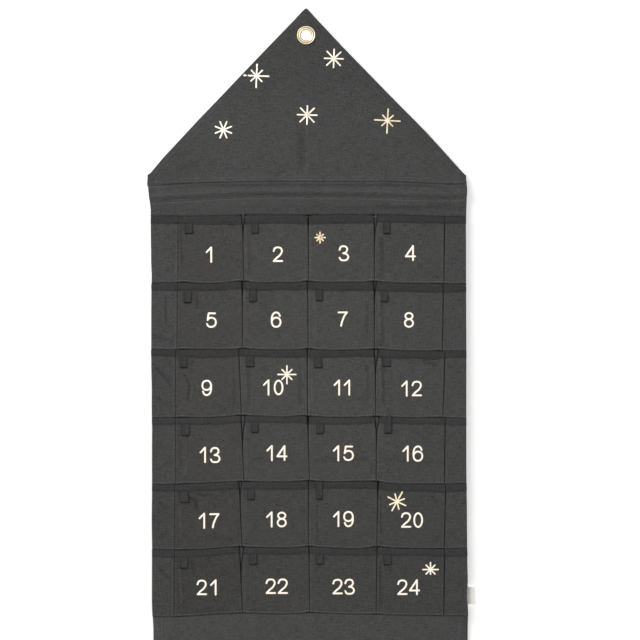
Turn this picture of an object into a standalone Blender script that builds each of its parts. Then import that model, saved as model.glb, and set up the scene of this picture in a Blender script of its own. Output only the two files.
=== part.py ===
# Fabric advent calendar: a house-shaped canvas hanging with four by six pleated pockets.
# The front faces -Y and the wall is the plane y = 0. The origin is the eyelet's centre on the wall.
# Depths are measured from the wall towards the front, so a depth d lies at y = -d.
import math

import bmesh
import bpy
from mathutils import Matrix

mm = 0.001

# Running and sewing clearance between two pieces, the step that keeps the faces of two joined
# shapes out of one plane, and the overrun of a cutter past a face
seam_gap = 0.3 * mm
join_step = 0.2 * mm
cutter_overrun = 2 * mm
weld_distance = 0.01 * mm

# Canvas and the fold that a hem adds behind it
canvas_thickness = 1.0 * mm
hem_thickness = 0.8 * mm
hem_width = 12 * mm

# Gable above the pockets
gable_height = 240 * mm
gable_skirt = 5.4 * mm
gable_overhang = 2.7 * mm
gable_lap = 5 * mm

# Eyelet near the apex
eyelet_drop = 38.2 * mm
eyelet_radius = 13.1 * mm
eyelet_hole_radius = 6.8 * mm
eyelet_wall = 0.8 * mm
eyelet_height = 2.0 * mm
washer_thickness = 1.2 * mm
# Outer rim, groove and inner lip, as shares of the flange's width and height
flange_shares = (
    (0.05, 0.72), (0.16, 1.0), (0.30, 0.92), (0.45, 0.62), (0.58, 0.56),
    (0.72, 0.80), (0.84, 0.88), (0.94, 0.66), (1.0, 0.30),
)
washer_shares = ((0.0, 0.55), (0.25, 1.0), (0.75, 1.0), (1.0, 0.4))
turned_steps = 40

# Casing for the rod, and the plain header below it
casing_height = 24.5 * mm
header_flat = 22.2 * mm
rod_diameter = 11 * mm
rod_inset = 2.5 * mm
rod_clearance = 0.3 * mm

# Pocket rows and columns
row_count = 6
column_count = 4
row_height = 94.3 * mm
column_width = 94.9 * mm
left_margin = 34 * mm
right_margin = 31.5 * mm
body_shift = 4.3 * mm
row_height_shares = (1.005, 1.013, 1.020, 1.002, 0.985, 0.975)
column_width_shares = (0.999, 0.984, 0.988, 1.029)
footer_height = 60 * mm

# Pockets, the pleats between them and the seam that closes them below
pocket_depth = 8 * mm
pocket_crown = 1.4 * mm
front_thickness = 1.2 * mm
pleat_gap = 2.0 * mm
pleat_width = 9 * mm
seam_height = 3 * mm
margin_edge = 1.2 * mm

# Ribbon: the tape along each pocket's top and the folded tabs under it
tape_height = 12.5 * mm
tape_thickness = 0.7 * mm
tab_width = 10.3 * mm
tab_length = 15 * mm
tab_thickness = 1.4 * mm
tab_inset = 15 * mm
pockets_without_tab = ("03", "20")

# Folded label in the right-hand side seam
label_width = 13 * mm
label_height = 24 * mm
label_thickness = 0.8 * mm
label_rise = 26.8 * mm

curve_steps = 6
round_steps = 5

canvas_look = ("canvas", (0.066, 0.067, 0.063), 0.95, 0.0)
ribbon_look = ("ribbon", (0.043, 0.045, 0.044), 0.9, 0.0)
brass_look = ("eyelet_brass", (0.83, 0.69, 0.40), 0.28, 1.0)
wood_look = ("dowel_wood", (0.62, 0.43, 0.26), 0.6, 0.0)
label_look = ("label_cloth", (0.88, 0.83, 0.70), 0.9, 0.0)

# Widths and heights that follow from the sizes above
body_width = left_margin + column_width * sum(column_width_shares) + right_margin
body_left = body_shift - body_width / 2
body_right = body_shift + body_width / 2
gable_half_width = body_width / 2 + gable_overhang
apex_z = eyelet_drop
shoulder_z = apex_z - gable_height
gable_bottom_z = shoulder_z - gable_skirt
casing_top_z = gable_bottom_z - seam_gap
casing_bottom_z = casing_top_z - casing_height
rows_top_z = casing_bottom_z - header_flat
rows_bottom_z = rows_top_z - row_height * sum(row_height_shares)
bottom_z = rows_bottom_z - footer_height
rod_length = body_width - 2 * rod_inset

# Depths that follow from the sizes above
panel_front = hem_thickness + canvas_thickness
strip_back = panel_front + seam_gap
front_back = panel_front + pocket_depth
front_face = front_back + front_thickness
gable_back = panel_front + seam_gap
gable_face = gable_back + hem_thickness + canvas_thickness
rod_radius = rod_diameter / 2
bore_radius = rod_radius + rod_clearance
sleeve_radius = bore_radius + canvas_thickness


def row_limits(row):
    # Top and bottom of a pocket row
    top = rows_top_z - row_height * sum(row_height_shares[:row])
    return top, top - row_height * row_height_shares[row]


def column_limits(column):
    # Left and right division lines of a pocket column
    left = body_left + left_margin + column_width * sum(column_width_shares[:column])
    return left, left + column_width * column_width_shares[column]


def crown(share):
    # How far a filled front swells out at a share of its height
    return pocket_crown * math.sin(math.pi * share)


def arc(centre_x, centre_y, radius, start, end, steps):
    # Points along an arc, with angles in degrees
    points = []
    for step in range(steps + 1):
        angle = math.radians(start + (end - start) * step / steps)
        points.append((centre_x + radius * math.cos(angle), centre_y + radius * math.sin(angle)))
    return points


def clear_scene():
    for item in list(bpy.data.objects):
        bpy.data.objects.remove(item, do_unlink=True)


def make_collection(name):
    collection = bpy.data.collections.new(name)
    bpy.context.scene.collection.children.link(collection)
    return collection


def make_material(look):
    name, color, roughness, metallic = look
    material = bpy.data.materials.new(name)
    material.use_nodes = True
    shader = material.node_tree.nodes["Principled BSDF"]
    shader.inputs["Base Color"].default_value = (*color, 1)
    shader.inputs["Roughness"].default_value = roughness
    shader.inputs["Metallic"].default_value = metallic
    material.diffuse_color = (*color, 1)
    return material


def mesh_object(name, mesh):
    item = bpy.data.objects.new(name, mesh)
    bpy.context.scene.collection.objects.link(item)
    return item


def evaluated_mesh(item):
    bpy.context.view_layer.update()
    return bpy.data.meshes.new_from_object(item.evaluated_get(bpy.context.evaluated_depsgraph_get()))


def weld(mesh):
    # Joins a filled curve's caps to its walls and turns every face outwards
    work = bmesh.new()
    work.from_mesh(mesh)
    bmesh.ops.remove_doubles(work, verts=work.verts, dist=weld_distance)
    bmesh.ops.recalc_face_normals(work, faces=work.faces)
    work.to_mesh(mesh)
    work.free()


# How an outline's own axes and its extrusion turn into the object's
front_view = Matrix.Rotation(math.pi / 2, 4, "X")
side_view = Matrix.Rotation(-math.pi / 2, 4, "Z") @ Matrix.Rotation(math.pi / 2, 4, "X")
plan_view = Matrix.Identity(4)


def plate(name, outlines, thickness, view):
    # A flat outline, with any further outlines as holes, extruded evenly about its plane
    curve = bpy.data.curves.new(name, "CURVE")
    curve.dimensions = "2D"
    curve.fill_mode = "BOTH"
    curve.extrude = thickness / 2
    for outline in outlines:
        spline = curve.splines.new("POLY")
        spline.points.add(len(outline) - 1)
        spline.use_cyclic_u = True
        for point, (across, up) in zip(spline.points, outline):
            point.co = (across, up, 0, 1)
    source = mesh_object(name, curve)
    mesh = evaluated_mesh(source)
    bpy.data.objects.remove(source, do_unlink=True)
    bpy.data.curves.remove(curve)
    weld(mesh)
    mesh.transform(view)
    mesh.name = name
    return mesh_object(name, mesh)


def front_plate(name, outlines, near_wall, face):
    # A plate parallel to the wall between two depths
    item = plate(name, outlines, face - near_wall, front_view)
    item.location.y = -(near_wall + face) / 2
    return item


def block(name, left, right, near_wall, face, low, high):
    # A box between limits across, in depth and in height
    bpy.ops.mesh.primitive_cube_add(size=1)
    item = bpy.context.object
    item.name = name
    item.scale = (right - left, face - near_wall, high - low)
    item.location = ((left + right) / 2, -(near_wall + face) / 2, (low + high) / 2)
    bpy.context.view_layer.update()
    item.data.transform(Matrix.Diagonal((*item.scale, 1)))
    item.scale = (1, 1, 1)
    return item


def turned(name, profile, steps):
    # A ring from a closed profile of radii and depths, with its axis through the eyelet
    mesh = bpy.data.meshes.new(name)
    points = [(radius, 0, depth) for radius, depth in profile]
    edges = [(i, (i + 1) % len(points)) for i in range(len(points))]
    mesh.from_pydata(points, edges, [])
    item = mesh_object(name, mesh)
    screw = item.modifiers.new("Turn", "SCREW")
    screw.steps = steps
    screw.render_steps = steps
    screw.use_merge_vertices = True
    screw.merge_threshold = weld_distance
    screw.use_smooth_shade = True
    item.rotation_euler.x = math.pi / 2
    return item


def combine(base, others, operation):
    # Applies Booleans of one kind and removes the helpers
    for other in others:
        modifier = base.modifiers.new(operation.title(), "BOOLEAN")
        modifier.operation = operation
        modifier.solver = "EXACT"
        modifier.object = other
    mesh = evaluated_mesh(base)
    base.modifiers.clear()
    base.data = mesh
    for other in others:
        bpy.data.objects.remove(other, do_unlink=True)
    return base


def finish(item, collection, material, parent=None):
    # Puts a finished piece in the object's collection, with its look and its carrier
    for holder in list(item.users_collection):
        holder.objects.unlink(item)
    collection.objects.link(item)
    item.data.materials.clear()
    item.data.materials.append(material)
    if parent:
        bpy.context.view_layer.update()
        item.parent = parent
        item.matrix_parent_inverse = parent.matrix_world.inverted()
    return item


def gable_outline(inset):
    # The gable's edge, moved in by a hem's width on every side
    slope = math.hypot(gable_half_width, gable_height)
    drop = inset * slope / gable_half_width
    side_x = gable_half_width - inset
    shoulder = apex_z - drop - side_x * gable_height / gable_half_width
    low = gable_bottom_z + inset
    if shoulder <= low:
        reach = (apex_z - drop - low) * gable_half_width / gable_height
        return [(0, apex_z - drop), (-reach, low), (reach, low)]
    return [(0, apex_z - drop), (-side_x, shoulder), (-side_x, low), (side_x, low), (side_x, shoulder)]


def gable_panel():
    # The hole lets the eyelet's barrel through, and the recess leaves the hem proud behind
    hole_radius = eyelet_hole_radius + eyelet_wall + seam_gap
    hole = arc(0, 0, hole_radius, 0, 360 - 360 / turned_steps, turned_steps - 1)
    panel = front_plate("gable_panel", [gable_outline(0), hole], gable_back, gable_face)
    recess = front_plate(
        "gable_recess", [gable_outline(hem_width)],
        gable_back - cutter_overrun, gable_back + hem_thickness,
    )
    clearing = arc(0, 0, eyelet_radius + seam_gap, 0, 360 - 360 / turned_steps, turned_steps - 1)
    washer_room = front_plate(
        "washer_room", [clearing],
        gable_back - 2 * cutter_overrun, gable_back + hem_thickness - seam_gap / 2,
    )
    return combine(panel, [recess, washer_room], "DIFFERENCE")


def eyelet_flange():
    # Front flange and barrel in one turned ring
    inner = eyelet_hole_radius
    outer = eyelet_hole_radius + eyelet_wall
    seat = gable_face + seam_gap
    end = gable_back + hem_thickness - seam_gap - washer_thickness
    width = eyelet_radius - inner
    crest = [(inner + width * across, seat + eyelet_height * up) for across, up in flange_shares]
    lip = seat + eyelet_height * flange_shares[0][1] / 2
    profile = [(inner, lip), *crest, (eyelet_radius, seat), (outer, seat), (outer, end), (inner, end)]
    return turned("eyelet_flange", profile, turned_steps)


def eyelet_washer():
    # Back washer round the barrel, between the gable and the wall
    inner = eyelet_hole_radius + eyelet_wall + seam_gap
    seat = gable_back + hem_thickness - seam_gap
    width = eyelet_radius - inner
    back = [(inner + width * across, seat - washer_thickness * up) for across, up in washer_shares]
    profile = [(inner, seat), (eyelet_radius, seat), *reversed(back)]
    return turned("eyelet_washer", profile, turned_steps)


def around_rod(radius, tip_depth, tip_gap, back):
    # Cloth pulled round the rod and sewn above and below it: two tips, tangents and an arc
    centre_z = (casing_top_z + casing_bottom_z) / 2
    centre_depth = sleeve_radius
    tip_height = casing_height / 2 - tip_gap
    reach = math.hypot(tip_height, centre_depth - tip_depth)
    lean = math.atan2(centre_depth - tip_depth, tip_height)
    touch = math.degrees(math.acos(radius / reach) - lean)
    bend = arc(centre_depth, centre_z, radius, 90 - touch, touch - 90, 2 * curve_steps)
    top = centre_z + tip_height
    bottom = centre_z - tip_height
    return [(back, top), (tip_depth, top), *bend, (tip_depth, bottom), (back, bottom)]


def header_band():
    # Rod casing and the plain cloth below it, in one length of canvas
    outer = around_rod(sleeve_radius, panel_front, 0, 0)
    top_flange = casing_top_z + gable_lap
    low_edge = rows_top_z - tape_height / 2
    middle = outer[1:-1]
    section = [
        (hem_thickness, top_flange), (panel_front, top_flange), *middle,
        (panel_front, low_edge), (0, low_edge),
        (0, casing_top_z), (hem_thickness, casing_top_z),
    ]
    bore = around_rod(bore_radius, hem_thickness + seam_gap, canvas_thickness, hem_thickness)
    band = plate("header_band", [section, bore], body_width, side_view)
    band.location.x = body_shift
    recess = block(
        "header_recess", body_left + hem_width, body_right - hem_width,
        -cutter_overrun, hem_thickness, low_edge - cutter_overrun, casing_bottom_z - hem_width / 2,
    )
    return combine(band, [recess], "DIFFERENCE")


def top_rod():
    # Hidden rod that keeps the header straight, turned to lie across
    bpy.ops.mesh.primitive_cylinder_add(vertices=turned_steps, radius=rod_radius, depth=rod_length)
    rod = bpy.context.object
    rod.name = "top_rod"
    rod.rotation_euler.y = math.pi / 2
    rod.location = (body_shift, -sleeve_radius, (casing_top_z + casing_bottom_z) / 2)
    rod.data.shade_smooth()
    rod.data.set_sharp_from_angle(angle=math.radians(40))
    return rod


def back_panel():
    # Canvas behind the pockets, with its folded hem proud behind all round
    top = rows_top_z - tape_height / 2 - seam_gap
    panel = block("back_panel", body_left, body_right, 0, panel_front, bottom_z, top)
    recess = block(
        "back_recess", body_left + hem_width, body_right - hem_width,
        -cutter_overrun, hem_thickness, bottom_z + hem_width, top - hem_width,
    )
    return combine(panel, [recess], "DIFFERENCE")


def margin_swell(outer, edge, start, end, proud):
    # Face of a margin from start to end: flat at the outer side seam, swelling to the pockets' front
    # at the pleat's edge
    rise = front_face - strip_back - margin_edge
    points = []
    for step in range(curve_steps + 1):
        across = start + (end - start) * step / curve_steps
        share = (across - outer) / (edge - outer)
        depth = strip_back + margin_edge + rise * math.sin(share * math.pi / 2) + proud
        points.append((across, -depth))
    return points


def margin_plan(outer, inner, side):
    # Plan of a margin with its half of the first pleat
    edge = inner - side * pleat_gap / 2
    pleat = inner + side * pleat_width / 2
    behind = -(front_back - seam_gap)
    swell = margin_swell(outer, edge, outer, edge, 0)
    return [(outer, -strip_back), *swell, (edge, behind), (pleat, behind), (pleat, -strip_back)]


def margin_tape_plan(outer, inner, side):
    # Plan of the tape on a margin, sunk a step into the cloth
    edge = inner - side * pleat_gap / 2
    start = outer + side * join_step
    end = edge - side * join_step
    face = margin_swell(outer, edge, start, end, tape_thickness)
    sunk = margin_swell(outer, edge, start, end, -join_step)
    return [*face, *reversed(sunk)]


def seam_outline(first, last, low, high):
    # Front view of a row's bottom seam with the pleats that rise from it
    top = low + seam_height
    outline = [(first, low + join_step), (first, top)]
    for column in range(1, column_count):
        middle = column_limits(column)[0]
        left = middle - pleat_width / 2
        right = middle + pleat_width / 2
        outline += [(left, top), (left, high), (right, high), (right, top)]
    return [*outline, (last, top), (last, low + join_step)]


def upright(name, outline, low, high):
    # A plan outline raised between two heights
    item = plate(name, [outline], high - low, plan_view)
    item.location.z = (low + high) / 2
    return item


def row_strip(row):
    # Side margins, the pleats between the pockets and the seam that closes the row below
    top, bottom = row_limits(row)
    low = bottom + seam_gap
    high = top - seam_gap
    first = column_limits(0)[0]
    last = column_limits(column_count - 1)[1]
    strip = front_plate(
        f"row_strip_{row + 1}", [seam_outline(first, last, low, high)],
        strip_back + join_step, front_back - seam_gap - join_step,
    )
    pieces = []
    for outer, inner, side in ((body_left, first, 1), (body_right, last, -1)):
        margin = upright("margin", margin_plan(outer, inner, side), low, high)
        taped = margin_tape_plan(outer, inner, side)
        tape = upright("margin_tape", taped, high - tape_height, high - join_step)
        pieces.append(combine(margin, [tape], "UNION"))
    return combine(strip, pieces, "UNION")


def front_height(row):
    # From a front's hinge line in the bottom fold to its top edge
    top, bottom = row_limits(row)
    return top - bottom - 2 * seam_gap - front_thickness / 2


def hinge_z(row):
    return row_limits(row)[1] + seam_gap + front_thickness / 2


def pocket_front(row, column):
    # Front of one pocket, round at the fold it turns about and doubled by the tape at its top.
    # Its face swells and its back is flat, so it closes against the pleats at every height.
    left, right = column_limits(column)
    height = front_height(row)
    half = front_thickness / 2
    taped = (height - tape_height) / height
    shares = [step / curve_steps * taped for step in range(1, curve_steps + 1)]
    fold = arc(0, 0, half, 180, 360, round_steps)
    face = [(half + crown(share), share * height) for share in shares]
    tape = [
        (half + crown(taped) + tape_thickness, taped * height),
        (half + tape_thickness, height),
        (-half, height),
    ]
    name = f"pocket_front_{pocket_number(row, column)}"
    front = plate(name, [[*fold, *face, *tape]], right - left - pleat_gap, side_view)
    front.location = ((left + right) / 2, -(front_back + half), hinge_z(row))
    return front


def pocket_number(row, column):
    return f"{row * column_count + column + 1:02d}"


def ribbon_tab(row, column):
    # Folded ribbon hanging from the tape's lower edge, round about its hinge line
    left = column_limits(column)[0]
    half = tab_thickness / 2
    height = front_height(row)
    hinge = height - tape_height - seam_gap - half
    lowest = hinge - tab_length
    swell = max(crown(lowest / height), crown(hinge / height))
    top = arc(0, 0, half, 0, 180, round_steps)
    end = arc(0, half - tab_length, half, 180, 360, round_steps)
    tab = plate(f"ribbon_tab_{pocket_number(row, column)}", [[*top, *end]], tab_width, side_view)
    depth = front_face + swell + seam_gap + half
    tab.location = (left + tab_inset, -depth, hinge_z(row) + hinge)
    return tab


def side_label():
    # Folded label that turns about the side seam
    half = label_thickness / 2
    seam = arc(0, 0, half, 90, 270, round_steps)
    fold = arc(label_width - label_thickness, 0, half, -90, 90, round_steps)
    label = plate("side_label", [[*seam, *fold]], label_height, plan_view)
    label.location = (body_right + seam_gap + half, -panel_front / 2, rows_bottom_z + label_rise)
    return label


def build_calendar():
    clear_scene()
    calendar = make_collection("advent_calendar")
    canvas = make_material(canvas_look)
    ribbon = make_material(ribbon_look)
    brass = make_material(brass_look)
    wood = make_material(wood_look)
    label = make_material(label_look)
    carrier = bpy.data.objects.new("calendar_on_wall", None)
    calendar.objects.link(carrier)

    finish(gable_panel(), calendar, canvas, carrier)
    finish(eyelet_flange(), calendar, brass, carrier)
    finish(eyelet_washer(), calendar, brass, carrier)
    finish(header_band(), calendar, canvas, carrier)
    finish(top_rod(), calendar, wood, carrier)
    finish(back_panel(), calendar, canvas, carrier)
    for row in range(row_count):
        finish(row_strip(row), calendar, canvas, carrier)
        for column in range(column_count):
            front = finish(pocket_front(row, column), calendar, canvas, carrier)
            if pocket_number(row, column) not in pockets_without_tab:
                finish(ribbon_tab(row, column), calendar, ribbon, front)
    finish(side_label(), calendar, label, carrier)


build_calendar()
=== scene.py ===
import math

import bpy
import numpy as np
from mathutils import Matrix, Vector


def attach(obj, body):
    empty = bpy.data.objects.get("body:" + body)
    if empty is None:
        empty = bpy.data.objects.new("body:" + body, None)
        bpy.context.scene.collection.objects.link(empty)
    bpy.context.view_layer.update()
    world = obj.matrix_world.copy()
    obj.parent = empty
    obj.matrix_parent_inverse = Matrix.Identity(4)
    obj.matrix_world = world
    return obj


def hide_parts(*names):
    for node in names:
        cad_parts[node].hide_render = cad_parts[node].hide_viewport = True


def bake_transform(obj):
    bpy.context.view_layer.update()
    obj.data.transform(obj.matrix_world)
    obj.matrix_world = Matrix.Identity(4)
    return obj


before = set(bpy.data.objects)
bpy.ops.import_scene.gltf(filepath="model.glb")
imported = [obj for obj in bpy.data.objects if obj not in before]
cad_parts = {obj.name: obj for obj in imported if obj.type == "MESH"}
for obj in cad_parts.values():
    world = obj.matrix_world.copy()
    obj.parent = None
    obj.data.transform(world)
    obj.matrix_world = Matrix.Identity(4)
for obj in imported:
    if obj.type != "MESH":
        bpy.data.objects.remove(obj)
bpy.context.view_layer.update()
print("frame loaded:", len(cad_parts), "CAD nodes")

mm = 0.001
photo = {"pixel": 1.415, "eyeletX": 306.1, "eyeletY": 34.8, "centre": 320.0, "frameMm": 905.6}
depths = {
    "behind": 2.4,  # where walls and floors of the pockets meet the back panel
    "face": 10.95,  # outside of the pockets' fronts, from the wall
    "cloth": 0.9,  # thickness of the canvas
    "tape": 0.45,
    "gable": 3.5,
    "sleeve": 13.2,
    "header": 7.6,
}


def acrossOf(px):
    return (np.asarray(px, float) - photo["eyeletX"]) * photo["pixel"]


def heightOf(py):
    return (photo["eyeletY"] - np.asarray(py, float)) * photo["pixel"]


def pairsOf(numbers):
    return np.array(numbers, float).reshape(-1, 2)


def smoothLine(places):
    # a soft line through a few measured places, two numbers to a place
    x, y = pairsOf(places).T
    slope = np.gradient(y, x)

    def at(q):
        q = np.clip(np.asarray(q, float), x[0], x[-1])
        i = np.clip(np.searchsorted(x, q) - 1, 0, len(x) - 2)
        w = x[i + 1] - x[i]
        t = (q - x[i]) / w
        return (
            (2 * t**3 - 3 * t**2 + 1) * y[i]
            + (t**3 - 2 * t**2 + t) * w * slope[i]
            + (3 * t**2 - 2 * t**3) * y[i + 1]
            + (t**3 - t**2) * w * slope[i + 1]
        )

    return at


def ease(low, high, value):
    t = np.clip((np.asarray(value, float) - low) / (high - low), 0, 1)
    return t * t * (3 - 2 * t)


def hump(value, middle, width):
    return np.exp(-(((np.asarray(value, float) - middle) / width) ** 2))


def softNoise(x, z, size, seed):
    # smooth random rises and dips, about as wide as size, from -1 to 1
    table = np.random.RandomState(seed).uniform(-1, 1, (64, 64))
    gx, gz = np.asarray(x) / size + 31.3, np.asarray(z) / size + 17.7
    ix, iz = np.floor(gx).astype(int), np.floor(gz).astype(int)
    tx, tz = ease(0, 1, gx - ix), ease(0, 1, gz - iz)
    a = table[iz % 64, ix % 64] * (1 - tx) + table[iz % 64, (ix + 1) % 64] * tx
    b = table[(iz + 1) % 64, ix % 64] * (1 - tx) + table[(iz + 1) % 64, (ix + 1) % 64] * tx
    return a * (1 - tz) + b * tz


def foldAlong(x, z, points, width, height, fade=6.0):
    # a soft ridge (or a groove, where height is below 0) along a line of points in mm, fading at its ends
    points = np.array(points, float)
    best = np.full(np.shape(x), 1e9)
    share = np.zeros(np.shape(x))
    total = np.sum(np.hypot(*np.diff(points, axis=0).T))
    run = 0.0
    for a, b in zip(points[:-1], points[1:]):
        d = b - a
        length = math.hypot(*d)
        t = np.clip(((x - a[0]) * d[0] + (z - a[1]) * d[1]) / length**2, 0, 1)
        away = np.hypot(x - a[0] - t * d[0], z - a[1] - t * d[1])
        closer = away < best
        best = np.where(closer, away, best)
        share = np.where(closer, run + t * length, share)
        run += length
    ends = ease(0, fade, share) * ease(0, fade, total - share)
    return height * np.exp(-((best / width) ** 2)) * ends


def pixelLine(places):
    return [(float(acrossOf(px)), float(heightOf(py))) for px, py in pairsOf(places)]


def placed(name, data):
    obj = bpy.data.objects.new(name, data)
    bpy.context.scene.collection.objects.link(obj)
    return obj


def meshObject(name, points, faces, material):
    # points are x, depth from the wall, and z, in mm
    mesh = bpy.data.meshes.new(name)
    places = np.asarray(points, float) * mm
    places[:, 1] *= -1
    mesh.from_pydata(places.tolist(), [], [list(f) for f in faces])
    mesh.materials.append(material)
    mesh.polygons.foreach_set("use_smooth", np.ones(len(mesh.polygons), bool))
    mesh.update()
    return placed(name, mesh)


def facing(grid):
    # the outward direction of a sheet whose rows run up and whose columns run to the right
    across = np.gradient(grid, axis=1)
    along = np.gradient(grid, axis=0)
    normal = np.cross(along, across)
    return normal / np.maximum(np.linalg.norm(normal, axis=2, keepdims=True), 1e-9)


def sheetParts(grid, thickness, keep=None, first=0):
    # a closed sheet with half-round edges: the grid is its outer face
    rows, columns, _ = grid.shape
    n = rows * columns
    normal = facing(grid)
    outer = grid.reshape(-1, 3)
    normal = normal.reshape(-1, 3)
    index = np.arange(n).reshape(rows, columns)
    quads = np.stack([index[:-1, :-1], index[:-1, 1:], index[1:, 1:], index[1:, :-1]], -1).reshape(-1, 4)
    if keep is not None:
        quads = quads[keep.reshape(-1)]
    edges = np.concatenate([quads[:, [k, (k + 1) % 4]] for k in range(4)])
    rim = edges[~np.isin(edges[:, 0] * n + edges[:, 1], edges[:, 1] * n + edges[:, 0])]
    away = np.zeros((n, 3))
    run = outer[rim[:, 1]] - outer[rim[:, 0]]
    side = np.cross(normal[rim[:, 0]], run)  # depth runs against the wall's own axis, so the order is turned
    side /= np.maximum(np.linalg.norm(side, axis=1, keepdims=True), 1e-9)
    np.add.at(away, rim[:, 0], side)
    np.add.at(away, rim[:, 1], side)
    away /= np.maximum(np.linalg.norm(away, axis=1, keepdims=True), 1e-9)
    rimPoints = np.unique(rim)
    place = np.full(n, -1)
    place[rimPoints] = np.arange(len(rimPoints))
    half = thickness / 2
    layers = [outer, outer - normal * thickness]
    middle = outer[rimPoints] - normal[rimPoints] * half
    for turn in (45, 90, 135):
        c, s = math.cos(math.radians(turn)), math.sin(math.radians(turn))
        layers.append(middle + normal[rimPoints] * half * c + away[rimPoints] * half * s)
    points = np.concatenate(layers)
    m = len(rimPoints)
    rings = [lambda v: v] + [lambda v, k=k: 2 * n + k * m + place[v] for k in range(3)] + [lambda v: v + n]
    faces = [quads, quads[:, ::-1] + n]
    for a, b in zip(rings[:-1], rings[1:]):
        faces.append(np.stack([a(rim[:, 1]), a(rim[:, 0]), b(rim[:, 0]), b(rim[:, 1])], -1))
    faces = np.concatenate(faces)
    used = np.unique(faces)
    new = np.full(len(points), -1)
    new[used] = np.arange(len(used))
    return points[used], new[faces] + first


def sheetObject(name, grids, thickness, material):
    # one mesh from one grid, or from several with their masks
    points, faces, count = [], [], 0
    for grid, keep in grids:
        p, f = sheetParts(grid, thickness, keep, count)
        points.append(p)
        faces.append(f)
        count += len(p)
    return meshObject(name, np.concatenate(points), np.concatenate(faces), material)


def toned(obj, toneAt):
    # how much lighter or darker than its material a cloth is from place to place, as parts of red, green and blue
    count = len(obj.data.vertices)
    flat = np.empty(3 * count)
    obj.data.vertices.foreach_get("co", flat)
    x, _, z = flat.reshape(-1, 3).T / mm
    tone = obj.data.attributes.new("tone", "FLOAT_VECTOR", "POINT")
    tone.data.foreach_set("vector", np.broadcast_to(toneAt(x, z), (count, 3)).astype(np.float32).ravel())


def brightened(obj, values):
    bright = obj.data.attributes.new("bright", "FLOAT", "POINT")
    bright.data.foreach_set("value", values)


# materials


def newMaterial(name):
    material = bpy.data.materials.new(name)
    material.use_nodes = True
    tree = material.node_tree
    tree.nodes.clear()
    return material, tree


def node(tree, kind, place, inputs=None, **settings):
    # inputs are set or linked by name or number, after the node's own settings
    made = tree.nodes.new(kind)
    made.location = place
    for key, value in settings.items():
        setattr(made, key, value)
    for key, value in (inputs or {}).items():
        if hasattr(value, "links"):
            tree.links.new(value, made.inputs[key])
        else:
            made.inputs[key].default_value = value
    return made


def mathNode(tree, operation, place, *values):
    return node(tree, "ShaderNodeMath", place, dict(enumerate(values)), operation=operation).outputs[0]


def noiseNode(tree, place, scale, detail, vector):
    return node(tree, "ShaderNodeTexNoise", place, {"Scale": scale, "Detail": detail, "Vector": vector}).outputs["Fac"]


def rampNode(tree, place, factor, *stops):
    ramp = node(tree, "ShaderNodeValToRGB", place, {"Fac": factor})
    for element, (position, color) in zip(ramp.color_ramp.elements, stops):
        element.position, element.color = position, (*color, 1)
    return ramp.outputs["Color"]


def nodeGroup(name, kind, sockets):
    # each socket is its name, its kind, and its value, lowest and highest where they matter
    group = bpy.data.node_groups.new(name, kind)
    for direction, rows in sockets.items():
        for label, socketKind, *values in rows:
            made = group.interface.new_socket(name=label, in_out=direction, socket_type="NodeSocket" + socketKind)
            if values:
                made.default_value = values[0]
            if len(values) > 1:
                made.min_value, made.max_value = values[1:]
    return group


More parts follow.
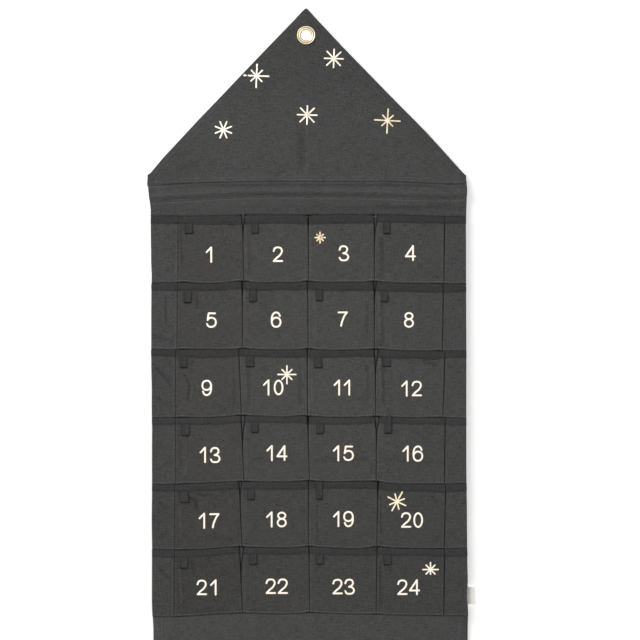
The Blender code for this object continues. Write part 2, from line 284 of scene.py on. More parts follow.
def canvasWeaveGroup():
    # plain weave, slubs and mottling, all from the piece's own Object coordinates
    group = nodeGroup("canvasWeave", "ShaderNodeTree", {
        "INPUT": [("Vector", "Vector"), ("Thread Size", "Float", 0.0007, 0.0001, 0.01),
                  ("Slub Strength", "Float", 0.5, 0.0, 2.0), ("Mottle Strength", "Float", 0.5, 0.0, 2.0),
                  ("Base", "Color", (0.066, 0.067, 0.063, 1))],
        "OUTPUT": [("Color", "Color"), ("Height", "Float"), ("Roughness", "Float")],
    })
    given = node(group, "NodeGroupInput", (-1400, 0)).outputs

    def calc(operation, x, y, *values):
        return mathNode(group, operation, (x, y), *values)

    axes = node(group, "ShaderNodeSeparateXYZ", (-1200, 0), {0: given["Vector"]}).outputs
    side = calc("ADD", -1050, 100, axes[0], axes[1])
    turn = calc("DIVIDE", -1050, -60, math.pi, given["Thread Size"])
    warp = calc("SINE", -720, 140, calc("MULTIPLY", -880, 120, side, turn))
    weft = calc("SINE", -720, -20, calc("MULTIPLY", -880, -40, axes[2], turn))
    over = calc("MULTIPLY_ADD", -400, -180, calc("MULTIPLY", -560, -180, warp, weft), 0.5, 0.5)
    threads = node(group, "ShaderNodeMix", (-220, 60), {
        "Factor": over, 2: calc("ABSOLUTE", -560, 140, warp), 3: calc("ABSOLUTE", -560, -20, weft),
    }, data_type="FLOAT").outputs[0]
    slubs = []
    for y, scaleX, scaleZ in ((-520, 90.0, 800.0), (-740, 900.0, 90.0)):
        stretch = node(group, "ShaderNodeCombineXYZ", (-880, y), {
            0: calc("MULTIPLY", -1050, y, side, scaleX), 2: calc("MULTIPLY", -1050, y - 100, axes[2], scaleZ)})
        slubs.append(noiseNode(group, (-700, y), 1.0, 1.0, stretch.outputs[0]))
    slub = calc("SUBTRACT", -420, -560, calc("MULTIPLY_ADD", -540, -560, slubs[0], 1.4, slubs[1]), 1.2)
    fine, broad, warm = [noiseNode(group, (-700, y), scale, detail, given["Vector"])
                         for y, scale, detail in ((-980, 1050.0, 1.0), (-1220, 42.0, 3.0), (-1460, 420.0, 1.0))]
    mottle = calc("ADD", -260, -1000, calc("MULTIPLY_ADD", -420, -980, fine, 1.6, -0.80),
                  calc("MULTIPLY_ADD", -420, -1160, broad, 0.2, -0.10))
    change = calc("ADD", 40, -700, calc("MULTIPLY", -100, -600, slub, given["Slub Strength"]),
                  calc("MULTIPLY", -100, -900, mottle, given["Mottle Strength"]))
    shade = calc("MULTIPLY", 220, -200, calc("MULTIPLY_ADD", 0, 60, threads, 0.22, 0.87),
                 calc("ADD", 140, -600, change, 1.0))
    dye = node(group, "ShaderNodeCombineXYZ", (-100, -1400), {
        0: calc("MULTIPLY_ADD", -400, -1400, warm, 0.15, 0.925), 1: 1.0,
        2: calc("MULTIPLY_ADD", -400, -1560, warm, -0.15, 1.075)})
    dyed = node(group, "ShaderNodeVectorMath", (360, 160), {0: given["Base"], 1: dye.outputs[0]}, operation="MULTIPLY")
    tint = node(group, "ShaderNodeVectorMath", (520, 60), {0: dyed.outputs[0], "Scale": shade}, operation="SCALE")
    node(group, "NodeGroupOutput", (900, 0), {
        "Color": tint.outputs[0], "Height": calc("ADD", 520, -160, threads, calc("MULTIPLY", 360, -360, slub, 0.8)),
        "Roughness": calc("MULTIPLY_ADD", 520, -360, threads, -0.12, 0.96)})
    return group


canvasWeave = canvasWeaveGroup()


def objectVector(tree):
    return node(tree, "ShaderNodeTexCoord", (-900, 0)).outputs["Object"]


def shaded(material, inputs, height, distance, strength=1.0):
    # the end of every material: the shader with a bump
    tree = material.node_tree
    relief = node(tree, "ShaderNodeBump", (-200, -260), {"Height": height, "Distance": distance, "Strength": strength})
    shader = node(tree, "ShaderNodeBsdfPrincipled", (60, 0), {**inputs, "Normal": relief.outputs[0]})
    node(tree, "ShaderNodeOutputMaterial", (360, 0), {"Surface": shader.outputs[0]})
    return material


def clothMaterial(name, base, thread, slub, mottle, bump):
    material, tree = newMaterial(name)
    weave = node(tree, "ShaderNodeGroup", (-480, 0), {
        "Vector": objectVector(tree), "Thread Size": thread, "Slub Strength": slub, "Mottle Strength": mottle,
        "Base": (*base, 1)}, node_tree=canvasWeave).outputs
    tone = node(tree, "ShaderNodeAttribute", (-480, 260), attribute_name="tone")  # 0 where a mesh has none
    toned = node(tree, "ShaderNodeVectorMath", (-200, 100), {
        0: weave["Color"], 1: tone.outputs["Vector"], 2: weave["Color"]}, operation="MULTIPLY_ADD")
    look = {"Base Color": toned.outputs[0], "Roughness": weave["Roughness"], "Specular IOR Level": 0.15}
    return shaded(material, look, weave["Height"], bump, 0.6)


canvas = clothMaterial("charcoalCanvas", (0.0655, 0.0665, 0.0645), 0.0007, 0.62, 1.00, 0.00006)
pocketCanvas = clothMaterial("pocketCanvas", (0.0680, 0.0676, 0.0638), 0.0007, 0.66, 1.00, 0.00006)
tapeCloth = clothMaterial("charcoalTape", (0.0400, 0.0414, 0.0402), 0.0005, 0.50, 1.20, 0.00004)
ribbonCloth = clothMaterial("ribbonTab", (0.0405, 0.0418, 0.0406), 0.0010, 0.45, 0.90, 0.00005)
labelCloth = clothMaterial("creamLabel", (0.97, 0.945, 0.87), 0.0004, 0.05, 0.10, 0.00003)
threadCloth = clothMaterial("greyThread", (0.190, 0.235, 0.240), 0.0003, 0.10, 0.20, 0.00003)
darkThread = clothMaterial("darkThread", (0.010, 0.011, 0.011), 0.0003, 0.10, 0.20, 0.00003)


def goldMaterial(name, base, metal, rough, dull, rim):
    # foil and plating: bright metal with duller brushed patches, and a deeper gold where bright is 0; in the eyelet's
    # grooves that deeper gold is painted reflection of the dark cloth
    material, tree = newMaterial(name)
    patches = noiseNode(tree, (-680, 0), 260.0, 3.0, objectVector(tree))
    patched = rampNode(tree, (-460, 0), patches, (0.36, dull), (0.56, base))
    inward = node(tree, "ShaderNodeAttribute", (-460, 260), attribute_name="bright").outputs["Fac"]
    tint = node(tree, "ShaderNodeMix", (-160, 160), {0: inward, 6: (*rim, 1), 7: patched}, data_type="RGBA")
    spread = {"Value": patches, "To Min": rough + 0.12, "To Max": rough}
    roughness = node(tree, "ShaderNodeMapRange", (-200, -60), spread)
    look = {"Metallic": metal, "Roughness": roughness.outputs[0], "Base Color": tint.outputs[2]}
    return shaded(material, look, patches, 0.00002, 0.5)


foil = goldMaterial("paleGoldFoil", (1.0, 0.98, 0.92), 0.85, 0.38, (1.0, 0.93, 0.79), (0.60, 0.41, 0.22))
wornFoil = goldMaterial("wornGoldFoil", (0.96, 0.88, 0.70), 0.85, 0.38, (0.72, 0.57, 0.36), (0.55, 0.40, 0.23))
warmFoil = goldMaterial("warmGoldFoil", (1.0, 0.93, 0.76), 0.85, 0.38, (0.90, 0.77, 0.52), (0.55, 0.39, 0.20))
dullFoil = goldMaterial("dullGoldFoil", (0.95, 0.86, 0.66), 0.85, 0.38, (0.42, 0.29, 0.15), (0.55, 0.38, 0.20))
brass = goldMaterial("paleBrass", (0.90, 0.83, 0.68), 0.90, 0.20, (0.76, 0.64, 0.43), (0.50, 0.35, 0.16))


def woodMaterial():
    material, tree = newMaterial("sandedWood")
    stretch = node(tree, "ShaderNodeMapping", (-720, 0), {"Vector": objectVector(tree), "Scale": (12.0, 260.0, 260.0)})
    grain = noiseNode(tree, (-540, 0), 1.0, 4.0, stretch.outputs[0])
    brown = rampNode(tree, (-340, 0), grain, (0.35, (0.42, 0.27, 0.15)), (0.65, (0.66, 0.47, 0.29)))
    return shaded(material, {"Roughness": 0.6, "Base Color": brown}, grain, 0.00005)


wood = woodMaterial()
print("materials made")

# the lines that the rows and columns follow, in the photograph's pixels

rowLines = [
    [148, 216.2, 187, 216.4, 208, 216.2, 240, 215.3, 310, 215.2, 370, 215.0, 400, 215.4, 444, 216.9,
     468, 217.4],
    [148, 282.9, 172, 282.8, 184, 282.7, 197, 283.5, 214, 283.6, 226, 282.9, 238, 281.6, 246, 281.8,
     256, 282.8, 280, 282.8, 298, 282.5, 307, 281.6, 316, 282.3, 350, 282.5, 365, 282.3, 374, 281.7,
     383, 282.5, 406, 283.4, 430, 283.7, 448, 284.0, 468, 283.4],
    [148, 348.9, 172, 349.8, 190, 349.5, 226, 349.6, 244, 349.0, 260, 349.7, 292, 349.9, 308, 349.2,
     328, 350.4, 350, 350.4, 368, 349.5, 380, 349.5, 394, 350.4, 442, 351.0, 468, 350.4],
    [148, 417.9, 178, 417.6, 214, 417.4, 226, 416.6, 240, 415.6, 256, 416.0, 286, 417.0, 300, 415.8,
     316, 416.8, 346, 417.5, 372, 416.7, 412, 417.8, 442, 417.6, 468, 418.1],
    [148, 483.7, 166, 484.6, 190, 483.7, 208, 482.9, 232, 481.8, 286, 481.7, 307, 481.0, 328, 481.8,
     376, 481.6, 394, 483.6, 424, 483.8, 445, 484.1, 468, 482.9],
    [148, 548.7, 172, 549.9, 196, 549.5, 214, 548.4, 232, 546.8, 250, 547.2, 292, 547.6, 307, 546.7,
     328, 547.6, 360, 548.6, 377, 546.8, 394, 548.0, 430, 548.6, 448, 548.7, 468, 547.6],
    [148, 616.1, 184, 616.3, 208, 614.4, 232, 613.2, 292, 613.5, 307, 612.7, 340, 613.6, 376, 614.2,
     418, 615.2, 445, 615.7, 468, 615.5],
]
rowLines = [smoothLine(line) for line in rowLines]
divisions = [  # for each row, where each division is at the top and at the bottom of the row
    [(178.2, 178.2), (242.9, 243.7), (308.3, 308.9), (374.1, 374.8), (444.5, 443.9)],
    [(177.8, 177.2), (242.4, 243.0), (307.8, 308.3), (374.1, 374.8), (443.5, 442.2)],
    [(175.6, 176.0), (239.0, 241.5), (307.4, 307.8), (374.8, 375.9), (445.0, 442.8)],
    [(175.6, 176.0), (241.2, 244.1), (307.8, 309.6), (376.3, 376.3), (445.2, 444.3)],
    [(175.0, 174.6), (239.4, 242.1), (308.7, 308.9), (377.7, 376.9), (445.7, 444.1)],
    [(174.6, 174.1), (239.6, 242.7), (309.1, 309.8), (377.1, 376.0), (444.6, 443.7)],
]
leftSide = smoothLine([177, 148.0, 182, 148.1, 190, 148.9, 200, 149.9, 208, 150.8, 220, 150.8,
                       250, 151.1, 265, 151.3, 278, 151.8, 288, 151.5, 300, 151.4, 335, 151.3,
                       370, 151.4, 390, 151.8, 410, 151.8, 424, 152.1, 450, 152.0, 490, 152.1,
                       525, 151.8, 545, 152.1, 575, 152.0, 610, 152.2, 620, 152.7, 700, 152.6])
rightSide = smoothLine([177, 466.2, 190, 466.6, 200, 466.4, 208, 466.1, 220, 465.9, 250, 466.0,
                        300, 466.1, 340, 466.3, 410, 466.3, 440, 466.3, 478, 466.4, 505, 466.8,
                        545, 467.1, 570, 467.5, 583, 467.7, 586, 467.5, 588, 467.1, 595, 466.9,
                        602, 467.1, 605, 467.7, 610, 468.0, 635, 467.9, 700, 467.9])

rowShape = {
    "gap": 0.22,  # half of a division's slit, in pixels
    "firstGap": 0.10,
    "lastGap": 0.34,
    "overLine": 0.06,  # from the dark line up to a pocket's bottom edge, and down to the next one's top
    "underLine": 0.03,
    "cornerLift": 0.75,  # how far the slack corners rise beside a division
    "cornerRadius": 1.3,
    "firstRadius": 0.7,
    "outerRadius": 1.4,
    "crown": 0.8,
    "topIn": 1.0,  # the cloth's top row under the tape's fold, in mm
    "tapeDrop": 8.35,
    "ridge": 2.3,  # from a front's bottom edge up to its stitched ridge
    "sideColumns": 9,  # of a side wall with its rounded corner
    "columns": 64,
    "rows": 50,
}


tapeEdges = [smoothLine(edge) for edge in (  # how far the tape reaches down from each row's line, in pixels
    [150, 7.2, 176, 7.5, 208, 8.25, 238, 9.0, 256, 9.0, 272, 8.3, 288, 8.2, 304, 9.0, 320, 8.9,
     336, 8.5, 368, 8.2, 384, 7.35, 416, 7.2, 448, 6.6, 466, 6.6],
    [150, 7.6, 176, 8.1, 208, 7.3, 224, 7.4, 256, 8.1, 280, 7.3, 304, 8.1, 352, 8.5, 384, 9.1,
     400, 8.4, 432, 8.9, 466, 8.4],
    [150, 6.3, 176, 6.5, 196, 8.4, 224, 7.7, 288, 7.6, 304, 8.2, 340, 6.8, 355, 6.6, 372, 7.7,
     400, 7.9, 416, 7.4, 432, 8.6, 448, 7.0, 466, 7.1],
    [150, 7.0, 200, 6.8, 224, 7.4, 240, 7.1, 272, 5.8, 288, 6.0, 304, 7.4, 336, 7.0, 368, 6.9,
     384, 6.3, 416, 6.2, 432, 6.5, 448, 7.1, 466, 7.4],
    [150, 7.1, 180, 7.3, 224, 7.8, 272, 7.4, 304, 8.0, 336, 6.4, 352, 6.8, 368, 7.5, 400, 7.3,
     416, 7.2, 432, 8.0, 466, 8.1],
    [150, 7.6, 200, 7.4, 240, 6.95, 288, 6.65, 304, 6.8, 336, 7.3, 352, 6.7, 368, 7.8, 400, 6.7,
     432, 7.4, 466, 8.1],
)]
mouths = [  # how much further each slit opens at its top, to the left and the right, and how near its pleat lies
    [(1.7, 2.4, 1.0), (1.1, 1.2, 0.0), (0.4, 3.7, 1.0)],
    [(1.2, 1.3, 0.6), (0.45, 0.45, 0.0), (0.9, 2.5, 0.8)],
    [(0.45, 0.45, 0.0), (0.5, 0.6, 0.0), (1.2, 3.9, 0.9)],
    [(0.7, 4.4, 1.0), (1.2, 1.5, 0.3), (1.8, 3.2, 1.0)],
    [(0.9, 2.6, 0.9), (0.5, 0.5, 0.0), (0.6, 1.6, 0.3)],
    [(0.4, 4.4, 1.0), (0.5, 0.5, 0.0), (0.5, 0.6, 0.0)],
]


def pixelAcross(x):
    return x / photo["pixel"] + photo["eyeletX"]


def pixelDown(z):
    return photo["eyeletY"] - z / photo["pixel"]


def betweenSides(py, share, inset=0.0):
    left, right = acrossOf(leftSide(py)) + inset, acrossOf(rightSide(py)) - inset
    return left + (right - left) * share


def nearDivision(row, px, level, width):
    return sum(hump(px, divisions[row][k][level], width) for k in (1, 2, 3))


def rowTop(row, x):
    px = pixelAcross(x)
    drop = 0.05 + 0.7 * nearDivision(0, px, 0, 3.5) if row == 0 else rowShape["underLine"]
    return heightOf(rowLines[row](px) + drop)


def rowBottom(row, x):
    px = pixelAcross(x)
    lift = rowShape["cornerLift"] * nearDivision(row, px, 1, 6.0)
    lift = lift + 0.45 * hump(px, divisions[row][0][1] + 6, 7.0) + 0.4 * hump(px, divisions[row][4][1] - 4, 7.0)
    return heightOf(rowLines[row + 1](px) - rowShape["overLine"] - lift)


def divisionAt(row, k, t):
    # t is 0 at the row's bottom and 1 at its top
    top, bottom = divisions[row][k]
    return acrossOf(bottom + (top - bottom) * t)


def slitAt(row, k, t, side):
    # from a division to the pocket on its left (side 0) or right (side 1)
    gap = rowShape[{0: "firstGap", 4: "lastGap"}.get(k, "gap")]
    mouth = 0.0 if k in (0, 4) else mouths[row][k - 1][side]
    fromTop = (1 - np.asarray(t)) * 66.0
    narrow = 0.55 + 0.45 * ease(66, 20, fromTop)
    return (gap * narrow + mouth * np.exp(-((fromTop / (5.5 + 2.4 * mouth)) ** 1.6))) * photo["pixel"]


def slitEdge(row, k, side):
    return lambda t: divisionAt(row, k, t) + (1 if side else -1) * slitAt(row, k, t, side)


def outerEdge(row, line):
    return lambda t: acrossOf(line(rowPixel(row, t)))


class BoxedCloth:
    # a front with its two side walls and the floor turned in below, all one cloth

    def __init__(self, row, leftEdge, rightEdge, faceDepth, leftRadius, rightRadius):
        self.row, self.faceDepth = row, faceDepth
        self.edges = (leftEdge, rightEdge)
        self.radii = (leftRadius, rightRadius)

    def heightAt(self, x, t):
        low = rowBottom(self.row, x) + rowShape["cornerRadius"]
        return low + (rowTop(self.row, x) - rowShape["topIn"] - low) * t

    def faceAt(self, t, s):
        # a place on the front: t up, s across, both from 0 to 1
        t, s = np.asarray(t, float), np.asarray(s, float)
        left, right = self.edges[0](t) + self.radii[0], self.edges[1](t) - self.radii[1]
        x = left + (right - left) * s
        z = self.heightAt(x, t)
        return np.stack([x, self.faceDepth(x, z), z], -1)

    def lines(self, t):
        # the outer line across the piece at each height t: wall, corner, front, corner, wall
        t = np.asarray(t, float)[:, None]
        even = np.linspace(0, 1, rowShape["columns"])[None, :]
        front = self.faceAt(t, 0.55 * even + 0.225 * (1 - np.cos(np.pi * even)))  # closer set beside the edges
        ends = []
        for k, sign in ((0, 1), (-1, -1)):
            r = self.radii[k]
            edge, face = self.edges[k](t), front[:, k:k + 1 if k == 0 else None, 1]
            turns = np.radians([0, 22.5, 45, 67.5])[None, :]
            wall = np.linspace(0, 1, 6)[None, :-1] * (face - r - depths["behind"]) + depths["behind"]
            x = np.concatenate([np.broadcast_to(edge, wall.shape), edge + sign * (r - r * np.cos(turns))], 1)
            depth = np.concatenate([wall, face - r + r * np.sin(turns)], 1)
            end = np.stack([x, depth, self.heightAt(x, t)], -1)
            ends.append(end if sign == 1 else end[:, ::-1])
        return np.concatenate([ends[0], front, ends[1]], 1)

    def build(self):
        rows = self.lines(np.linspace(0, 1, rowShape["rows"]))
        base, side, r = rows[0], rowShape["sideColumns"], rowShape["cornerRadius"]
        face = np.arange(rows.shape[1])
        inFront = (face >= side) & (face < rows.shape[1] - side)
        depthAtWall = base[:, 1] - r
        arcs, floor = [], []
        for turn in np.radians([75, 50, 25]):
            line = base.copy()
            line[:, 2] -= r * math.sin(turn)
            line[inFront, 1] = depthAtWall[inFront] + r * math.cos(turn)
            corner = ~inFront & (base[:, 1] > base[side, 1] - r + 1e-6)
            line[corner, 1] = base[side, 1] - r + (base[corner, 1] - base[side, 1] + r) * math.cos(turn)
            arcs.append(line)
        for share in np.linspace(0, 1, 6):
            line = base.copy()
            line[:, 2] -= r
            line[inFront, 1] = depths["behind"] + (depthAtWall[inFront] - depths["behind"]) * share
            floor.append(line)
        grid = np.array(floor + arcs + list(rows))
        keep = np.ones((len(grid) - 1, rows.shape[1] - 1), bool)
        keep[: len(floor), ~(inFront[:-1] & inFront[1:])] = False
        return grid, keep

    def toneAt(self, key, tint, across, foldHighlight):
        # painted highlights on the folds beside the slits and on the raised creases, and painted shade in the crease
        # grooves
        def at(x, z):
            t = np.clip((z - rowBottom(self.row, x)) / (rowTop(self.row, x) - rowBottom(self.row, x)), 0, 1)
            left, right = self.edges[0](t), self.edges[1](t)
            share = across[0] + (across[1] - across[0]) * np.clip((x - left) / (right - left), 0, 1)
            fold = foldHighlight[0] * hump(x, left + 1.2, 0.8) + foldHighlight[1] * hump(x, right - 1.2, 0.8)
            return (share + fold + creasePaintedLight * foldsOf(key, x, z))[:, None] + np.array(tint)
        return at

    def binding(self, first, last, seed, tab=None):
        # the tape folded over the mouth's edge, between two columns of the outer line
        out, inside = 0.55, depths["cloth"] + 0.55
        height = float(rowTop(self.row, 0.0) - rowBottom(self.row, 0.0)) - rowShape["cornerRadius"]
        lowT = 1 - (rowShape["tapeDrop"] * photo["pixel"] - 1.2) / (height - rowShape["topIn"])
        lines = self.lines(np.linspace(lowT, 1, 9))
        more = tapeEdges[self.row](pixelAcross(lines[..., 0])) - rowShape["tapeDrop"]
        lines[..., 2] -= photo["pixel"] * more * np.linspace(1, 0, 9)[:, None]
        normal = facing(lines)
        up = np.array([0.0, 0.0, 1.0])
        wave = 0.22 * softNoise(lines[..., 0] + 0.8 * lines[..., 2], 0.4 * lines[..., 2], 2.6, seed)
        wave += 0.20 * softNoise(lines[..., 0], lines[..., 2], 9, seed + 1)
        wave = np.maximum(wave, -0.05)
        if tab:  # the tab's root lies under the tape
            x0, x1 = acrossOf(tab[0]), acrossOf(tab[1])
            wave += 0.35 * ease(x0 - 1.0, x0 + 0.2, lines[..., 0]) * ease(x1 + 1.0, x1 - 0.2, lines[..., 0])
        wave[0] *= 0.3
        outer = lines + normal * (out + wave[..., None])
        over = []
        for turn in np.radians([30, 60, 90, 120, 150]):
            middle = (out - inside) / 2
            reach = (out + inside) / 2
            over.append(lines[-1] + normal[-1] * (middle + reach * math.cos(turn)) + up * math.sin(turn))
        inner = (lines - normal * inside)[::-1]
        grid = np.concatenate([outer, np.array(over), inner])
        return grid[:, first:last if last else None]


def pocketFace(row, column):
    left, right = divisions[row][column], divisions[row][column + 1]
    mid = 0.5 * (acrossOf(left[0]) + acrossOf(right[0]))
    halfWide = 0.5 * (acrossOf(right[0]) - acrossOf(left[0]))
    number = row * 4 + column + 1
    seed = 99 + number

    def at(x, z):
        top, bottom = rowTop(row, x), rowBottom(row, x)
        s = np.clip((x - mid) / halfWide, -1, 1)
        t = np.clip((z - bottom) / (top - bottom), 0, 1)
        swell = rowShape["crown"] * (1 - s**4) * np.sin(np.pi * np.clip(t, 0.02, 1) * 0.62 + 0.1)
        ridge = 0.65 * hump(z, bottom + rowShape["ridge"], 1.1)
        rolled = 0.40 * (hump(x - mid, 3.0 - halfWide, 1.1) + hump(x - mid, halfWide - 3.0, 1.1))
        drift = 0.30 * softNoise(x, z, 18, seed) + 0.10 * softNoise(x, z, 6, seed + 50)
        pulled = foldsOf(number, x, z)
        return depths["face"] + swell + ridge + rolled + np.maximum(drift + pulled, -1.5)

    return at


creases = {  # folds pressed into single fronts: width and height in mm, then points in pixels
    1: [(2.2, -0.35, 181, 224, 183, 268), (1.6, -0.4, 226, 223.5, 240, 229)],
    2: [(1.6, 0.35, 246.5, 226, 247.5, 272), (3.0, -0.3, 250, 240, 251, 275)],
    3: [(1.6, 0.3, 311.5, 228, 312, 275)],
    4: [(2.2, -0.45, 382.5, 236, 383.5, 276), (1.6, 0.3, 378, 226, 379, 270),
        (2.0, -0.4, 420, 224, 438, 228)],
    5: [(2.6, -0.55, 198, 290, 198, 310), (2.0, 0.5, 190, 292, 191, 300)],
    6: [(2.0, 0.35, 246, 292, 247, 338)],
    7: [(1.8, 0.35, 316, 302, 316.5, 344), (2.2, -0.3, 367, 300, 368, 340)],
    8: [(2.0, 0.35, 379, 292, 380, 340), (2.0, -0.35, 383, 300, 383.5, 345),
        (2.5, -0.4, 376, 340, 392, 347)],
    9: [(1.8, -0.8, 184, 372, 190.5, 385, 188, 402), (1.6, 0.5, 187, 373, 193, 386, 191, 400),
        (1.8, -0.5, 194, 358, 192, 370), (3.0, -0.3, 212, 404, 236, 408),
        (2.2, -0.3, 234.5, 360, 235.5, 408)],
    10: [(2.0, 0.35, 245, 362, 246, 410), (1.8, -0.35, 249.5, 362, 250, 408),
         (2.4, -0.3, 300, 360, 301, 408)],
    11: [(2.0, 0.25, 312, 362, 313, 408), (3.0, -0.3, 352, 396, 370, 404),
         (2.0, -0.4, 360, 356, 368, 366, 368.5, 402)],
    12: [(1.8, 0.45, 380, 354, 381, 394), (2.2, -0.4, 384, 356, 384.5, 408),
         (2.5, -0.5, 420, 360, 440, 366)],
    13: [(1.0, 0.5, 186.5, 438, 186.5, 480), (2.0, -0.35, 180, 430, 182, 470)],
    14: [(1.6, 0.35, 246, 428, 248, 476), (3.2, -0.35, 250, 459, 298, 461)],
    15: [(3.2, -0.35, 314, 460, 372, 459)],
    16: [(3.2, -0.35, 382, 459, 440, 462), (2.5, -0.4, 420, 426, 440, 430)],
    17: [(2.6, -0.7, 186, 496, 196, 500, 198, 512), (1.3, -0.6, 180, 493, 176.5, 498),
         (2.0, -0.5, 196, 491, 204, 496, 212, 492), (2.2, 0.35, 180, 506, 182, 540),
         (3.0, -0.3, 205, 536, 234, 540)],
    18: [(2.0, 0.3, 245, 494, 246, 540)],
    19: [(1.6, -0.35, 317.5, 502, 318, 545)],
    20: [(2.2, -0.35, 380, 494, 382, 538), (2.6, -0.5, 430, 494, 440, 505)],
    21: [(2.2, 0.4, 180, 560, 182, 604), (2.4, -0.6, 192, 558, 194, 572)],
    22: [(2.0, 0.3, 245, 560, 246, 606)],
    24: [(2.2, -0.35, 380, 560, 382, 606), (2.6, -0.5, 426, 560, 440, 566)],
    "L1": [(1.6, -0.6, 156, 274, 164, 277)],
    "L2": [(1.6, -0.5, 166.5, 295, 167, 326), (2.2, -0.5, 150, 335, 176, 342)],
    "L3": [(2.0, -0.6, 154, 366, 172, 384), (2.0, -0.5, 156, 396, 172, 408)],
    "L4": [(2.2, -0.4, 155, 470, 172, 461)],
    "L5": [(2.2, -0.5, 158, 500, 170, 512), (2.2, -0.4, 156, 540, 172, 532)],
    "L6": [(2.2, -0.5, 158, 566, 170, 578)],
    "R3": [(2.2, -0.3, 448, 366, 462, 372)],
    "R5": [(2.2, -0.35, 448, 532, 462, 540)],
}
creases = {key: [(pixelLine(places), width, height) for width, height, *places in rows]
           for key, rows in creases.items()}
creaseScale = 2.1
creasePaintedLight = 0.16  # painted highlight: how much lighter a crease is for each mm that it stands up, and painted shade where it sinks


def foldsOf(key, x, z):
    total = np.zeros(np.shape(x))
    for points, width, height in creases.get(key, []):
        total = total + foldAlong(x, z, points, width, creaseScale * height)
    return total


def marginFace(row, side, seed):
    def at(x, z):
        ridge = 0.55 * hump(z, rowBottom(row, x) + rowShape["ridge"], 1.1)
        drift = 0.30 * softNoise(x, z, 16, seed) + 0.12 * softNoise(x, z, 5, seed + 50)
        return depths["face"] - 0.1 + ridge + np.maximum(drift + foldsOf(f"{side[0]}{row + 1}", x, z), -1.5)

    return at


def marginSeed(row, side):
    return 300 + row * 2 + (side == "Left")


def rowPixel(row, t):
    top = 0.5 * (rowLines[row](200.0) + rowLines[row](400.0))
    bottom = 0.5 * (rowLines[row + 1](200.0) + rowLines[row + 1](400.0))
    return bottom + (top - bottom) * t


tabs = {  # the left and right sides and the bottom in pixels, and how far the tab leans
    1: (185.4, 192.7, 233.8, 0), 2: (251.8, 258.3, 233.8, 0), 4: (383.3, 389.5, 234.2, 0),
    5: (184.0, 191.3, 303.0, 0), 6: (249.4, 256.4, 302.1, 0), 7: (316.0, 322.5, 301.1, 0),
    8: (381.2, 387.4, 302.1, 0), 9: (180.4, 187.0, 367.7, 0), 10: (246.3, 253.9, 366.9, 0),
    11: (314.0, 321.6, 367.9, 0.4), 12: (382.8, 389.9, 366.7, -0.3), 13: (181.8, 189.1, 435.8, 0),
    14: (251.3, 258.0, 432.5, 0), 15: (316.6, 323.6, 433.7, 0), 16: (384.4, 391.3, 433.4, 0),
    17: (180.3, 188.6, 502.5, 1.2), 18: (247.6, 254.2, 499.5, 0), 19: (316.0, 322.3, 499.3, 0),
    21: (180.5, 187.9, 568.1, -0.4), 22: (249.4, 256.9, 564.3, 0), 23: (316.4, 323.0, 564.2, 0),
    24: (383.7, 390.6, 564.7, 0),
}
overTape = {16: 2.6, 19: 1.4}  # tabs whose root lies over the tape, and how far that leans, in pixels
columnTone = [(-0.13, -0.07), (-0.04, 0.0), (0.0, 0.0), (-0.03, -0.03)]
columnTint = [(0, -0.01, -0.01), (0, -0.005, -0.01), (0, 0, 0), (-0.01, 0, 0.02)]
marginTone = {"Left": -0.06, "Right": -0.03}
# painted shade: the lower rows are darker, standing in for the light falling off towards the bottom
rowFalloffShade = [-0.02, -0.01, 0.0, -0.035, -0.115, -0.17]
marginRowFalloffShade = {"Left": [0.0, 0.0, -0.045, -0.04, -0.12, -0.10], "Right": [-0.01, 0.0, 0.0, -0.03, -0.04, -0.12]}
tapeTone = [-0.05, -0.05, -0.02, 0.07, -0.02, 0.03]


def tapeToneAt(row):
    # painted highlight: a lighter band along the tape's top fold, where its crest meets the light
    return lambda x, z: (tapeTone[row] + 0.25 * hump(z, rowTop(row, x) + 0.3, 0.7))[:, None] + np.zeros(3)


pockets, margins, pieces, tapePaths = {}, {}, {}, {}


def tapeOver(name, key, cloth, span, seed, root=None):
    # the ribbon over a mouth; the slice is the part of its front that its stitches follow
    bound, side = cloth.binding(*span, seed, root), rowShape["sideColumns"]
    tapePaths[key] = (bound, slice(side - span[0], -side - span[1]))
    tape = sheetObject(name, [(bound, None)], depths["tape"], tapeCloth)
    toned(tape, tapeToneAt(cloth.row))
    return tape


